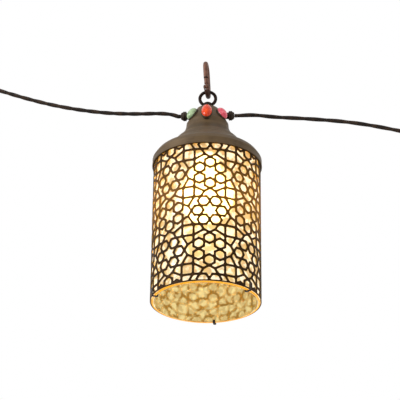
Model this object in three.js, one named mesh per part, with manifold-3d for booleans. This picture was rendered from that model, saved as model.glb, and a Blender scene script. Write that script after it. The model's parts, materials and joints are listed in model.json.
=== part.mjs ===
// Outdoor hanging lantern: a rolled and pierced metal shade round a clear liner tube, under a cap set
// with glass stones. A ring and a snap hook carry it, and a twisted two-core lead runs in at one side
// of the cap and out at the other.
// Millimetres, +Z up. Heights are counted from the liner's lower edge while the pieces are made; at the
// end everything moves down, so that the origin is the place where the snap hook hangs.
import * as THREE from 'three';
import { mergeVertices } from 'three/addons/utils/BufferGeometryUtils.js';
import Module from 'manifold-3d';

const wasm = await Module();
wasm.setup();

// Driving dimensions: general
const gap = 0.3;                 // between touching pieces
const wireSides = 8;

// Driving dimensions: shade and liner
const shadeRadius = 60;          // outside of the rolled sheet
const sheetThickness = 1.2;
const shadeFoot = 1;             // height of the sheet's lower edge
const shadeTop = 171;            // height of the sheet's upper edge, inside the cap's skirt
const barWidth = 2.3;            // metal between two openings
const footBand = 1.2;            // plain edge below the openings
const headBand = 0.9;            // plain edge above the openings, below the skirt
const columnPairs = 4;           // half the rosettes round the shade: neighbours differ, so they pair up
const rowPitch = 45;             // rosette to rosette, upwards
const firstRowDrop = 43.6;       // sheet's upper edge to the centres of the highest whole rosettes
const petalSide = 6.6;           // side of a petal hexagon
const patternTurn = 6;           // degrees that the shade is turned against the cap
const smallestOpening = 5;       // square mm; a smaller leftover at the edges stays closed
const linerClearance = 0.6;      // liner to sheet
const linerWall = 3;
const clipTurns = [-67, 53, 173];
const clipWidth = 3;
const clipSheet = 0.8;
const clipOuterLeg = 7;
const clipInnerLeg = 2.5;

// Driving dimensions: cap, from its skirt upwards
const skirtWall = 0.7;
const skirtClearance = 0.6;
const skirtOverlap = 7.7;        // skirt below the sheet's upper edge
const skirtHeight = 8.8;
const shoulderRise = 23.9;
const neckRise = 22;
const crownRise = 20.8;
const capWall = 2;
const neckRadius = 23.9;
const crownRadius = 12.6;        // at the crown's top edge
const crownWall = 3;
const ledgeDrop = 4.5;           // neck's top to the underside of the ledge that carries the holder plate
const ledgeWidth = 4;

// Driving dimensions: stones in their bezels
const stoneTurns = [0, 53, 127, 180, 233, 307];
const stoneRise = 7.4;           // above the neck's top
const longStoneRise = 5.7;
const stoneWidth = 11.4;
const stoneLength = 16;
const longStoneLength = 22;      // the orange stones, front and back
const stoneDome = 5.2;
const bezelWall = 0.9;
const bezelRise = 1.7;
const bezelSeat = 0.6;

// Driving dimensions: lead, glands and connectors
const leadDiameter = 4.8;
const glandRise = 12.3;          // above the neck's top
const glandRadius = 5.6;         // collar outside the stones
const glandNeck = 3.8;           // between two stones
const glandReach = 30.4;         // from the axis to the face that the lead leaves
const collarLength = 6.6;
const glandBore = 1.7;
const feedDiameter = 2.6;
const connectorRadius = 8;
const connectorLength = 34;
const reliefLength = 10;
const pinRadius = 1.2;
const pinLength = 7;
const pinSeat = 6;               // pin inside the plug
const pinSpacing = 6.4;

// Driving dimensions: hanging parts
const ringRadius = 9.05;         // to the middle of the wire
const ringWire = 3.7;
const bossRadius = 6.8;
const bossRise = 2.7;            // dome's centre above the crown
const eyeRise = 5.2;             // middle of the ring's wire above the crown
const studRadius = 2.5;
const studLength = 9;
const hookLean = 3.2;            // degrees, as the photographed hook stands
const hookTurn = -5;
const hookWire = 5.4;
const hookHalfWidth = 9.25;      // to the middle of the wire
const hookLength = 46.8;
const noseRise = 20.8;           // nose end above the hook's lowest point
const noseGap = 0.5;             // gate to nose
const lowBowSweep = 145;         // degrees of the lower bow, back to the ears
const hingeRise = 9.2;           // gate pivot above the hook's lowest point
const gateRod = 4.6;
const gateBlade = 2.2;
const knuckleRadius = 2.1;
const earSheet = 1.4;
const earRadius = 2.6;           // round the rivet
const earRoot = 2.4;             // round the end of the bow
const rivetRadius = 1;
const rivetHead = 1.8;
const rivetHeadRise = 0.4;

// Driving dimensions: lamp holder and lamp
const plateSheet = 1.5;
const screwRadius = 1;
const screwHead = 1.7;
const screwLength = 4;
const nippleRadius = 5;
const nippleBore = 3.5;
const nippleLength = 15;
const holderRadius = 17.6;
const holderWall = 2;
const holderLength = 38;
const holderCrown = 6;
const blockThickness = 3.7;
const screwShellRadius = 14.9;
const screwShellWall = 0.6;
const contactHeight = 1.6;
const lampBaseRadius = 13.3;
const lampBaseLength = 24;
const bulbRadius = 29.5;
const lightCentreLength = 73;    // lamp's contact to the middle of its bulb
const bulbNeck = 12.2;
const bulbWall = 1;
const filamentRadius = 9;
const filamentTube = 0.8;

// Heights that follow from them
const patternTop = shadeTop - skirtOverlap + 1.1;
const firstRowHeight = shadeTop - firstRowDrop;
const skirtFoot = shadeTop - skirtOverlap;
const skirtTop = skirtFoot + skirtHeight;
const neckFoot = skirtTop + shoulderRise;
const neckTop = neckFoot + neckRise;
const crownTop = neckTop + crownRise;
const ledgeHeight = neckTop - ledgeDrop;
const glandHeight = neckTop + glandRise;
const eyeHeight = crownTop + eyeRise;
const ringHeight = eyeHeight + ringRadius;

const rad = THREE.MathUtils.degToRad;
const lantern = new THREE.Group();

// Mesh tools
function closed(geometry) {
  const bare = geometry.clone();
  for (const name of Object.keys(bare.attributes)) if (name !== 'position') bare.deleteAttribute(name);
  const merged = mergeVertices(bare, 1e-4);
  const p = merged.attributes.position;
  const keep = [];
  let volume = 0;
  const [a, b, c] = [new THREE.Vector3(), new THREE.Vector3(), new THREE.Vector3()];
  for (let i = 0; i < merged.index.count; i += 3) {
    const corners = [0, 1, 2].map((k) => merged.index.getX(i + k));
    if (new Set(corners).size < 3) continue;
    keep.push(...corners);
    [a, b, c].forEach((v, k) => v.fromBufferAttribute(p, corners[k]));
    volume += a.dot(b.cross(c));
  }
  if (volume < 0) keep.reverse();
  merged.setIndex(keep);
  return merged;
}

function solid(geometry) {
  const g = closed(geometry);
  const vertProperties = new Float32Array(g.attributes.position.array);
  const triVerts = new Uint32Array(g.index.array);
  return new wasm.Manifold(new wasm.Mesh({ numProp: 3, vertProperties, triVerts }));
}

function geometryOf(manifold) {
  const mesh = manifold.getMesh();
  const geometry = new THREE.BufferGeometry();
  geometry.setAttribute('position', new THREE.BufferAttribute(new Float32Array(mesh.vertProperties), 3));
  geometry.setIndex([...mesh.triVerts]);
  return geometry;
}

// A profile of [radius, height] points turned about +Z
function revolve(profile, segments) {
  const points = profile.map(([r, z]) => new THREE.Vector2(r, z));
  if (profile[0][0] > 0) points.push(points[0].clone());
  return closed(new THREE.LatheGeometry(points, segments).rotateX(Math.PI / 2));
}

function rod(radius, from, to, sides = wireSides) {
  const axis = new THREE.Vector3().subVectors(to, from);
  const g = new THREE.CylinderGeometry(radius, radius, axis.length(), sides);
  g.rotateX(Math.PI / 2).translate(0, 0, axis.length() / 2);
  g.applyQuaternion(new THREE.Quaternion().setFromUnitVectors(new THREE.Vector3(0, 0, 1), axis.normalize()));
  return closed(g.translate(from.x, from.y, from.z));
}

// A round wire along a curve; the section's first corner is given so that flat sides face outwards
function wire(curve, radius, steps, sides = wireSides) {
  const section = new THREE.Shape();
  for (let k = 0; k < sides; k += 1) {
    const turn = (2 * Math.PI * (k + 0.5)) / sides;
    section[k ? 'lineTo' : 'moveTo'](radius * Math.cos(turn), radius * Math.sin(turn));
  }
  return closed(new THREE.ExtrudeGeometry(section, { steps, extrudePath: curve, bevelEnabled: false }));
}

function hexNut(boltRadius, cornerRadius, z0, z1) {
  const hole = (boltRadius + gap) / Math.cos(Math.PI / 6);
  return revolve([[hole, z0], [cornerRadius, z0], [cornerRadius, z1], [hole, z1]], 6);
}

function box(x0, x1, y0, y1, z0, z1) {
  const g = new THREE.BoxGeometry(x1 - x0, y1 - y0, z1 - z0);
  return g.translate((x0 + x1) / 2, (y0 + y1) / 2, (z0 + z1) / 2);
}

const at = (x, y, z) => new THREE.Vector3(x, y, z);
const joined = (...parts) => parts.map(solid).reduce((whole, part) => whole.add(part));
const cut = (whole, ...tools) => tools.reduce((rest, tool) => rest.subtract(tool), whole);

function finish(color, roughness, metalness) {
  return new THREE.MeshStandardMaterial({ color, roughness, metalness });
}

const bronze = finish(0x5c4e3c, 0.55, 0.8);
const darkIron = finish(0x241c16, 0.5, 0.8);
const hookBrown = finish(0x6e5046, 0.5, 0.7);
const rubber = finish(0x2c2724, 0.7, 0);
const brass = finish(0xc9a24e, 0.35, 1);
const steel = finish(0xb8b8b4, 0.3, 1);
const porcelain = finish(0xe8e2d4, 0.4, 0);
const linerGlass = finish(0xfff0b8, 0.1, 0);
linerGlass.transparent = true;
linerGlass.opacity = 0.45;
const bulbGlassFinish = finish(0xfff6dc, 0.08, 0);
bulbGlassFinish.transparent = true;
bulbGlassFinish.opacity = 0.4;

function add(name, geometry, material, place = (mesh) => mesh) {
  const mesh = new THREE.Mesh(closed(geometry), material);
  mesh.name = name;
  lantern.add(mesh);
  place(mesh);
}

// The star pattern. One repeat is one unit wide and high about a rosette's centre: six petal hexagons
// round a six-pointed star, with shared corners. Neighbouring rosettes are turned a quarter against
// each other, and a square stands between every four.
const columns = 2 * columnPairs;
const repeatWidth = (2 * Math.PI * shadeRadius) / columns;

function rosetteTiles() {
  const s = petalSide / repeatWidth;
  const flat = 1.5 * Math.sqrt(3) * s;          // rosette's centre to a petal's outer side
  const polar = (r, degrees, [x, y] = [0, 0]) => (
    [x + r * Math.cos(rad(degrees)), y + r * Math.sin(rad(degrees))]);
  const mirror = (points, mx, my) => {
    const turned = points.map(([x, y]) => [x * mx, y * my]);
    return mx * my < 0 ? turned.reverse() : turned;
  };
  const star = Array.from({ length: 12 }, (_, k) => polar(k % 2 ? s : Math.sqrt(3) * s, 30 * k));
  const petals = Array.from({ length: 6 }, (_, k) => {
    const centre = polar(2 * s, 30 + 60 * k);
    return Array.from({ length: 6 }, (_, m) => polar(s, 30 + 60 * (k + m), centre));
  });
  const knee = [0.5, 0.9 * s];                  // where a petal's side, drawn on, meets the next zigzag
  const crest = [0.9 * s, 0.5];
  const boot = [[flat, flat], crest, [0, 3 * s], [Math.sqrt(3) * s / 2, 2.5 * s],
    [Math.sqrt(3) * s / 2, 1.5 * s], [Math.sqrt(3) * s, 2 * s], [flat, 1.5 * s]];
  const kite = [[flat, flat], [flat, 1.5 * s], knee, [1 - flat, flat]];
  const bow = [[Math.sqrt(3) * s, 0], [flat, -0.5 * s], [flat, -1.5 * s], [knee[0], -knee[1]],
    [1 - 3 * s, 0], knee, [flat, 1.5 * s], [flat, 0.5 * s]];
  const corners = [[1, 1], [-1, 1], [-1, -1], [1, -1]];
  return {
    turned: [star, ...petals, bow, mirror(bow, -1, 1), ...corners.flatMap(([mx, my]) => [
      mirror(boot, mx, my), mirror(kite, mx, my)])],
    square: [[flat, flat], [1 - flat, flat], [1 - flat, 1 - flat], [flat, 1 - flat]],
  };
}

// Cuts a polygon at a level line and keeps the side where sign * (z - level) >= 0
function clipAt(polygon, level, sign) {
  const kept = [];
  polygon.forEach((p, i) => {
    const q = polygon[(i + 1) % polygon.length];
    const [dp, dq] = [sign * (p[1] - level), sign * (q[1] - level)];
    if (dp >= -1e-7) kept.push(p);
    if (Math.abs(dp) > 1e-7 && Math.abs(dq) > 1e-7 && dp * dq < 0) {
      kept.push([p[0] + ((q[0] - p[0]) * dp) / (dp - dq), level]);
    }
  });
  return kept;
}

const areaOf = (polygon) => polygon.reduce((sum, [x, y], i) => {
  const [u, v] = polygon[(i + 1) % polygon.length];
  return sum + (x * v - u * y) / 2;
}, 0);

function sheetTiles() {
  const { turned, square } = rosetteTiles();
  const tiles = [];
  const rowsUp = Math.ceil((shadeTop - firstRowHeight) / rowPitch + 0.5);
  const rowsDown = Math.ceil((firstRowHeight - shadeFoot) / rowPitch + 0.5);
  for (let row = -rowsUp; row <= rowsDown; row += 1) {
    for (let column = 0; column < columns; column += 1) {
      const upright = (row + column) % 2 === 0;
      const placed = [...turned.map((tile) => (upright ? tile : tile.map(([x, y]) => [-y, x]))), square];
      for (const tile of placed) {
        let outline = tile.map(([x, y]) => (
          [(column + x) * repeatWidth, firstRowHeight + (y - row) * rowPitch]));
        if (areaOf(outline) < 0) outline.reverse();
        outline = clipAt(clipAt(outline, shadeFoot, 1), patternTop, -1);
        if (outline.length > 2 && areaOf(outline) > 0.01) tiles.push(outline);
      }
    }
  }
  return tiles;
}

// Moves a tile's sides inwards by half a bar, or by a whole band at the sheet's edges. Sides too short
// for that are left out. Gives one corner of the opening for each corner of the tile, or one point in
// the middle where nothing is left to open.
function openingOf(tile, edgeDepth) {
  const n = tile.length;
  const sides = tile.map((p, i) => {
    const q = tile[(i + 1) % n];
    const length = Math.hypot(q[0] - p[0], q[1] - p[1]);
    const normal = [-(q[1] - p[1]) / length, (q[0] - p[0]) / length];
    const depth = edgeDepth(p, q);
    return { direction: [(q[0] - p[0]) / length, (q[1] - p[1]) / length],
      point: [p[0] + normal[0] * depth, p[1] + normal[1] * depth] };
  });
  const meet = (a, b) => {
    const cross = a.direction[0] * b.direction[1] - a.direction[1] * b.direction[0];
    if (Math.abs(cross) < 1e-6) return b.point;
    const [dx, dy] = [b.point[0] - a.point[0], b.point[1] - a.point[1]];
    const t = (dx * b.direction[1] - dy * b.direction[0]) / cross;
    return [a.point[0] + a.direction[0] * t, a.point[1] + a.direction[1] * t];
  };
  let kept = sides.map((_, i) => i);
  while (kept.length > 2) {
    const corners = kept.map((side, i) => meet(sides[kept.at(i - 1)], sides[side]));
    const flipped = kept.findIndex((side, i) => {
      const [from, to] = [corners[i], corners[(i + 1) % kept.length]];
      const { direction } = sides[side];
      return (to[0] - from[0]) * direction[0] + (to[1] - from[1]) * direction[1] <= 0.02;
    });
    if (flipped < 0) {
      if (areaOf(corners) < smallestOpening) break;
      let last = kept.length - 1;
      return { open: true, corners: tile.map((_, i) => {
        const own = kept.indexOf(i);
        if (own >= 0) last = own;
        const next = own >= 0 ? own : (kept.findIndex((side) => side > i) + kept.length) % kept.length;
        return corners[own >= 0 ? last : next];
      }) };
    }
    kept = kept.filter((_, i) => i !== flipped);
  }
  const middle = [0, 1].map((k) => tile.reduce((sum, p) => sum + p[k] / n, 0));
  return { open: false, corners: tile.map(() => middle) };
}

// The sheet's solid: every bar is flat outside and bevelled to an edge at the inner radius, so the
// openings widen inwards. The tiles' outlines become the inner edges.
function piercedSheet() {
  const inside = shadeRadius - sheetThickness;
  const positions = [];
  const indices = [];
  const known = new Map();
  const round = repeatWidth * columns;
  const vertex = ([u, z], radius) => {
    const turn = ((u / round) * 2 * Math.PI) + rad(patternTurn);
    const p = [radius * Math.sin(turn), -radius * Math.cos(turn), z];
    const key = p.map((value) => Math.round(value * 2000)).join(' ');
    if (!known.has(key)) {
      known.set(key, positions.length / 3);
      positions.push(...p);
    }
    return known.get(key);
  };
  const face = (...corners) => {
    const loop = corners.filter((id, i) => id !== corners[(i + corners.length - 1) % corners.length]);
    for (let i = 2; i < loop.length; i += 1) indices.push(loop[0], loop[i - 1], loop[i]);
  };
  const onEdge = (p, q, level) => Math.abs(p[1] - level) < 1e-6 && Math.abs(q[1] - level) < 1e-6;
  const edgeDepth = (p, q) => {
    if (onEdge(p, q, shadeFoot)) return footBand;
    return onEdge(p, q, patternTop) ? headBand : barWidth / 2;
  };
  const tiles = sheetTiles().map((outline) => {
    const { open, corners } = openingOf(outline, edgeDepth);
    const back = outline.map((p) => vertex(p, inside));
    const front = corners.map((p) => vertex(p, shadeRadius));
    return { outline, back, front, wall: open ? front : corners.map((p) => vertex(p, inside)) };
  });
  const sideOwner = new Map();
  tiles.forEach((tile, t) => tile.back.forEach((id, k) => {
    sideOwner.set(`${id} ${tile.back[(k + 1) % tile.back.length]}`, [t, k]);
  }));
  const around = new Map();
  tiles.forEach((tile, t) => tile.outline.forEach((p, k) => {
    const next = (k + 1) % tile.outline.length;
    const q = tile.outline[next];
    const { back, front, wall } = tile;
    face(wall[k], wall[next], back[next], back[k]);
    const across = sideOwner.get(`${back[next]} ${back[k]}`);
    if (across) {
      const [t2, k2] = across;
      const other = tiles[t2].front;
      if (t < t2) face(other[(k2 + 1) % other.length], other[k2], front[next], front[k]);
    } else {
      const rims = [[p[1], shadeRadius]];
      if (onEdge(p, q, patternTop)) rims.push([shadeTop, shadeRadius], [shadeTop, inside]);
      rims.push([p[1], inside]);
      face(vertex([p[0], p[1]], shadeRadius), vertex([q[0], q[1]], shadeRadius), front[next], front[k]);
      for (let i = 1; i < rims.length; i += 1) {
        const [[z0, r0], [z1, r1]] = [rims[i - 1], rims[i]];
        face(vertex([q[0], z0], r0), vertex([p[0], z0], r0), vertex([p[0], z1], r1), vertex([q[0], z1], r1));
      }
    }
    if (!around.has(back[k])) around.set(back[k], []);
    around.get(back[k]).push([t, k, !across]);
  }));
  // The flat meeting place of the bars round each corner
  for (const corner of around.values()) {
    const first = corner.find(([, , rim]) => rim) ?? corner[0];
    const loop = [];
    if (first[2]) loop.push(vertex(tiles[first[0]].outline[first[1]], shadeRadius));
    let [t, k] = first;
    do {
      const { back, front } = tiles[t];
      loop.push(front[k]);
      const previous = (k + back.length - 1) % back.length;
      const across = sideOwner.get(`${back[k]} ${back[previous]}`);
      if (!across) break;
      [t, k] = across;
    } while (t !== first[0] || k !== first[1]);
    face(...loop);
  }
  const geometry = new THREE.BufferGeometry();
  geometry.setAttribute('position', new THREE.Float32BufferAttribute(positions, 3));
  geometry.setIndex(indices);
  return geometry;
}

add('pierced_shade', piercedSheet(), darkIron);

// Liner tube and the clips that carry it
const linerOutside = shadeRadius - sheetThickness - linerClearance;
const linerInside = linerOutside - linerWall;
add('liner_tube', revolve([[linerInside, 0], [linerOutside, 0], [linerOutside, shadeTop],
  [linerInside, shadeTop]], 32), linerGlass);

function clipGeometry() {
  const [outer, inner] = [shadeRadius + gap + clipSheet, linerInside - gap - clipSheet];
  const floor = -gap - clipSheet;
  const profile = new THREE.Shape([[outer, floor], [outer, shadeFoot + clipOuterLeg],
    [outer - clipSheet, shadeFoot + clipOuterLeg], [outer - clipSheet, -gap], [inner + clipSheet, -gap],
    [inner + clipSheet, clipInnerLeg], [inner, clipInnerLeg], [inner, floor]]
    .map(([x, y]) => new THREE.Vector2(x, y)));
  const g = new THREE.ExtrudeGeometry(profile, { depth: clipWidth, bevelEnabled: false });
  return g.translate(0, 0, -clipWidth / 2).rotateX(Math.PI / 2).rotateZ(-Math.PI / 2);
}
clipTurns.forEach((turn, i) => {
  add(`liner_clip_${i + 1}`, clipGeometry(), darkIron, (mesh) => { mesh.rotation.z = rad(turn); });
});

// Cap: spun skirt, shoulder and neck, with the crown that carries the stones
const skirtInside = shadeRadius + skirtClearance;
const skirtOutside = skirtInside + skirtWall;
const capSides = 28;
const shoulder = [[skirtOutside, skirtTop - 0.8], [skirtOutside - 2.1, skirtTop + 2.5],
  [skirtOutside - 4.2, skirtTop + 5.3], [52, skirtTop + 0.37 * shoulderRise],
  [41.5, skirtTop + 0.69 * shoulderRise], [35.6, neckFoot], [31, neckFoot + 0.21 * neckRise],
  [neckRadius + 3.1, neckFoot + 0.46 * neckRise], [neckRadius + 0.7, neckFoot + 0.73 * neckRise]];
const crownSlope = Math.atan2(neckRadius - crownRadius, crownRise - 0.8);
const crownAt = (z) => neckRadius - (z - neckTop) * Math.tan(crownSlope);

function capSolid() {
  const inside = [7, 5, 2].map((i) => [shoulder[i][0] - capWall * 0.75, shoulder[i][1] - capWall * 0.8]);
  const neckInside = neckRadius - capWall;
  const profile = [[skirtOutside, skirtFoot], ...shoulder, [neckRadius, neckTop],
    [crownRadius, crownTop - 0.8], [crownRadius - 1.6, crownTop], [0, crownTop],
    [0, crownTop - crownWall], [crownAt(crownTop - crownWall) - crownWall, crownTop - crownWall],
    [neckInside - ledgeWidth, neckTop + 2], [neckInside - ledgeWidth, ledgeHeight],
    [neckInside, ledgeHeight], [neckInside, ledgeHeight - 4.5], ...inside,
    [skirtInside, skirtTop - 0.5], [skirtInside, skirtFoot]];
  return solid(revolve(profile, capSides));
}

// What the cone of the crown takes out of pieces that sit on it
function crownBody() {
  const reach = gap / Math.cos(crownSlope);
  return solid(revolve([[0, neckTop - 12], [neckRadius + 2 + reach, neckTop - 12],
    [neckRadius + reach, neckTop], [crownRadius + reach, crownTop - 0.8], [crownRadius + reach, crownTop],
    [0, crownTop]], capSides));
}

// The ring's wire runs through the boss; its tunnel widens outwards, so that the boss can swing on it
function ringTunnel() {
  const half = [0, 3.5, 5.5, bossRadius + 0.7];
  const widths = half.map((x) => {
    const climb = ringRadius - Math.sqrt(ringRadius ** 2 - x ** 2);
    return (ringWire / 2 + climb + gap) / Math.cos(Math.PI / 10);
  });
  const profile = [[0, -half[3]], ...[3, 2, 1, 0].map((i) => [widths[i], -half[i]]),
    ...[1, 2, 3].map((i) => [widths[i], half[i]]), [0, half[3]]];
  return solid(revolve(profile, 10).rotateY(Math.PI / 2).translate(0, 0, eyeHeight));
}

// Glands sit on the crown at both sides; plate screws hold the holder plate against the ledge
const sides = [['left', -1], ['right', 1]];
const plateScrewSpacing = neckRadius - capWall - 2.3;
const plateTop = ledgeHeight - gap;
const crownInside = crownAt(glandHeight) - crownWall;
const glandSpigot = glandBore + 1.4;

add('cap', geometryOf(cut(capSolid(),
  solid(rod(studRadius + gap, at(0, 0, crownTop - crownWall - 1), at(0, 0, crownTop + 1), 10)),
  ...sides.map(([, side]) => solid(rod(glandSpigot + gap, at(side * (crownInside - 4), 0, glandHeight),
    at(side * (crownAt(glandHeight) + 6), 0, glandHeight)))),
  ...[-1, 1].map((side) => solid(rod(screwRadius + gap, at(0, side * plateScrewSpacing, ledgeHeight - 1),
    at(0, side * plateScrewSpacing, ledgeHeight + screwLength), 6))))), bronze);

const bossFoot = crownTop + gap;
const bossCentre = crownTop + bossRise;
const boss = revolve([[0, bossFoot - studLength], [studRadius, bossFoot - studLength],
  [studRadius, bossFoot], [bossRadius, bossFoot], [bossRadius, bossCentre],
  [bossRadius * 0.87, bossCentre + bossRadius / 2], [bossRadius / 2, bossCentre + bossRadius * 0.87],
  [0, bossCentre + bossRadius]], 12);
add('ring_boss', geometryOf(solid(boss).subtract(ringTunnel())), darkIron);
const bossNutTop = crownTop - crownWall - gap;
add('boss_nut', hexNut(studRadius, 4.9, bossNutTop - 3.5, bossNutTop), steel);

// Stones: domed ovals in cups that are shaped to the crown
const stoneSides = 10;
const stoneColours = [0xe8501c, 0xe0607a, 0x9cc0a0, 0xe8501c, 0xe0607a, 0x9cc0a0];
function ovalOnCrown(profile, length, height, turn) {
  const g = revolve(profile, stoneSides).scale(stoneWidth / length, 1, 1);
  g.rotateX(Math.PI / 2 - crownSlope).translate(0, -crownAt(height), height);
  return g.rotateZ(rad(turn));
}
stoneTurns.forEach((turn, i) => {
  const [length, rise] = turn % 180 === 0 ? [longStoneLength, longStoneRise] : [stoneLength, stoneRise];
  const r = length / 2;
  const cupProfile = [[0, -3], [r + bezelWall, -3], [r + bezelWall, bezelRise], [r + gap / 2, bezelRise],
    [r + gap / 2, bezelSeat], [0, bezelSeat]];
  const stoneProfile = [[0, bezelSeat + gap], [r - gap / 2, bezelSeat + gap], [r - gap / 2, bezelRise],
    [r * 0.78, bezelRise + stoneDome * 0.52], [r * 0.4, bezelRise + stoneDome * 0.9],
    [0, bezelRise + stoneDome]];
  const cup = solid(ovalOnCrown(cupProfile, length, neckTop + rise, turn)).subtract(crownBody());
  add(`stone_cup_${i + 1}`, geometryOf(cup), darkIron);
  add(`stone_${i + 1}`, ovalOnCrown(stoneProfile, length, neckTop + rise, turn),
    finish(stoneColours[i], 0.15, 0));
});

// Cable glands and the wires that run from them to the lamp holder
const glandShape = [[glandBore, crownInside], [glandNeck, crownInside],
  [glandNeck, glandReach - collarLength], [glandRadius, glandReach - collarLength + 0.6],
  [glandRadius, glandReach - 2.2],
  [glandRadius - 1.6, glandReach - 0.6], [leadDiameter / 2 + 0.6, glandReach], [glandBore, glandReach]];
sides.forEach(([where, side]) => {
  const whole = solid(revolve(glandShape, 10).rotateY((side * Math.PI) / 2).translate(0, 0, glandHeight));
  const spigot = solid(rod(glandSpigot, at(side * (crownInside - 2), 0, glandHeight),
    at(side * (glandReach - 8), 0, glandHeight), 10));
  const bore = solid(rod(glandBore, at(side * (crownInside - 4), 0, glandHeight),
    at(side * (glandReach + 2), 0, glandHeight), 6));
  add(`cable_gland_${where}`, geometryOf(whole.subtract(crownBody()).add(spigot).subtract(bore)), rubber);
});

// Lamp holder on its plate
const plateRadius = neckRadius - capWall - gap;
const plateBottom = plateTop - plateSheet;
const holderTop = plateBottom - gap;
const nippleTop = holderTop + nippleLength - holderCrown;
const hole = (radius, y) => solid(rod(radius, at(0, y, plateBottom - 3), at(0, y, plateTop + 3), 10));
const disc = solid(rod(plateRadius, at(0, 0, plateBottom), at(0, 0, plateTop), 18));
add('holder_plate', geometryOf(cut(disc, hole(nippleRadius + gap + 0.2, 0),
  ...[-1, 1].map((side) => hole(screwRadius + gap, side * plateScrewSpacing)))), steel);
[['front', -1], ['back', 1]].forEach(([where, side]) => {
  const head = plateBottom - gap;
  const screw = revolve([[0, head - 1.2], [screwHead, head - 1.2], [screwHead, head], [screwRadius, head],
    [screwRadius, ledgeHeight + screwLength - 1], [0, ledgeHeight + screwLength - 1]], 6);
  add(`plate_screw_${where}`, screw.translate(0, side * plateScrewSpacing, 0), steel);
});
add('holder_nipple', revolve([[nippleBore, holderTop - holderCrown], [nippleRadius, holderTop - holderCrown],
  [nippleRadius, nippleTop], [nippleBore, nippleTop]], 10), brass);
add('nipple_nut', hexNut(nippleRadius, 8.5, plateTop + gap, plateTop + gap + 3), brass);

const holderFoot = holderTop - holderLength;
const holderInside = holderRadius - holderWall;
add('holder_shell', revolve([[nippleRadius + gap, holderTop - holderCrown], [nippleRadius + gap, holderTop],
  [holderRadius - 4, holderTop], [holderRadius, holderTop - 4], [holderRadius, holderFoot],
  [holderInside, holderFoot], [holderInside, holderTop - holderCrown]], 16), finish(0x3a332c, 0.5, 0));
const blockTop = holderTop - holderCrown - gap;
const blockBottom = blockTop - blockThickness;
add('contact_block', revolve([[0, blockBottom], [holderInside - gap, blockBottom],
  [holderInside - gap, blockTop], [0, blockTop]], 16), porcelain);
const shellTop = blockBottom - gap;
const screwShellInside = screwShellRadius - screwShellWall;
add('holder_screw_shell', revolve([[screwShellInside, holderFoot + 2], [screwShellRadius, holderFoot + 2],
  [screwShellRadius, shellTop], [screwShellInside, shellTop]], 14), brass);
add('centre_contact', revolve([[0, shellTop - contactHeight], [2, shellTop - contactHeight], [3.4, shellTop],
  [0, shellTop]], 8), brass);

// Lamp: screw base, glass, stem and filament ring
const lampTop = shellTop - contactHeight - gap;
const baseFoot = lampTop - lampBaseLength;
add('lamp_base', revolve([[0, lampTop], [3, lampTop], [lampBaseRadius - 1.5, lampTop - 3.4],
  [lampBaseRadius, lampTop - 6], [lampBaseRadius, baseFoot], [bulbNeck + gap, baseFoot],
  [bulbNeck + gap, lampTop - 6.6], [0, lampTop - 6.6]], 12), brass);
const bulbTop = lampTop - 7.5;
const lightCentre = lampTop - lightCentreLength;
const bulbOutside = [[0, lightCentre - bulbRadius], [bulbRadius * 0.7, lightCentre - bulbRadius * 0.76],
  [bulbRadius, lightCentre - 7], [bulbRadius, lightCentre + 6], [bulbRadius * 0.74, lightCentre + 22],
  [bulbNeck, baseFoot - 3], [bulbNeck, bulbTop]];
const bulbInside = bulbOutside.map(([r, z]) => (r ? [r - bulbWall, z] : [0, z + bulbWall])).reverse();
add('lamp_glass', revolve([...bulbOutside, ...bulbInside], 12), bulbGlassFinish);
const stemTop = bulbTop + 0.5;
const stemRadius = bulbNeck - bulbWall - 2 * gap;
const stem = revolve([[0, lightCentre - 2], [1.6, lightCentre - 2], [3.2, baseFoot],
  [stemRadius, stemTop - 3], [stemRadius, stemTop], [0, stemTop]], 8);
const armLength = filamentRadius - filamentTube - gap;
const arms = [0, 120, 240].map((turn) => rod(0.5, at(0, 0, lightCentre),
  at(armLength * Math.cos(rad(turn)), armLength * Math.sin(rad(turn)), lightCentre), 5));
add('lamp_stem', geometryOf(joined(stem, ...arms)), bulbGlassFinish);
add('lamp_filament', new THREE.TorusGeometry(filamentRadius, filamentTube, 4, 12)
  .translate(0, 0, lightCentre), finish(0xffe9b0, 0.4, 0));

// Wires from the glands down through the nipple to the contact block
sides.forEach(([where, side]) => {
  const route = new THREE.CatmullRomCurve3([at(side * (glandReach - 1), 0, glandHeight),
    at(side * (crownInside - 1), 0, glandHeight), at(side * (crownInside - 4), 0, glandHeight - 0.6),
    at(side * 5.5, 0, glandHeight - 5), at(side * 1.7, 0, nippleTop + 3), at(side * 1.7, 0, nippleTop),
    at(side * 1.7, 0, blockTop + gap)], false, 'centripetal');
  add(`feed_wire_${where}`, wire(route, feedDiameter / 2, 12, 5), rubber);
});

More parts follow.
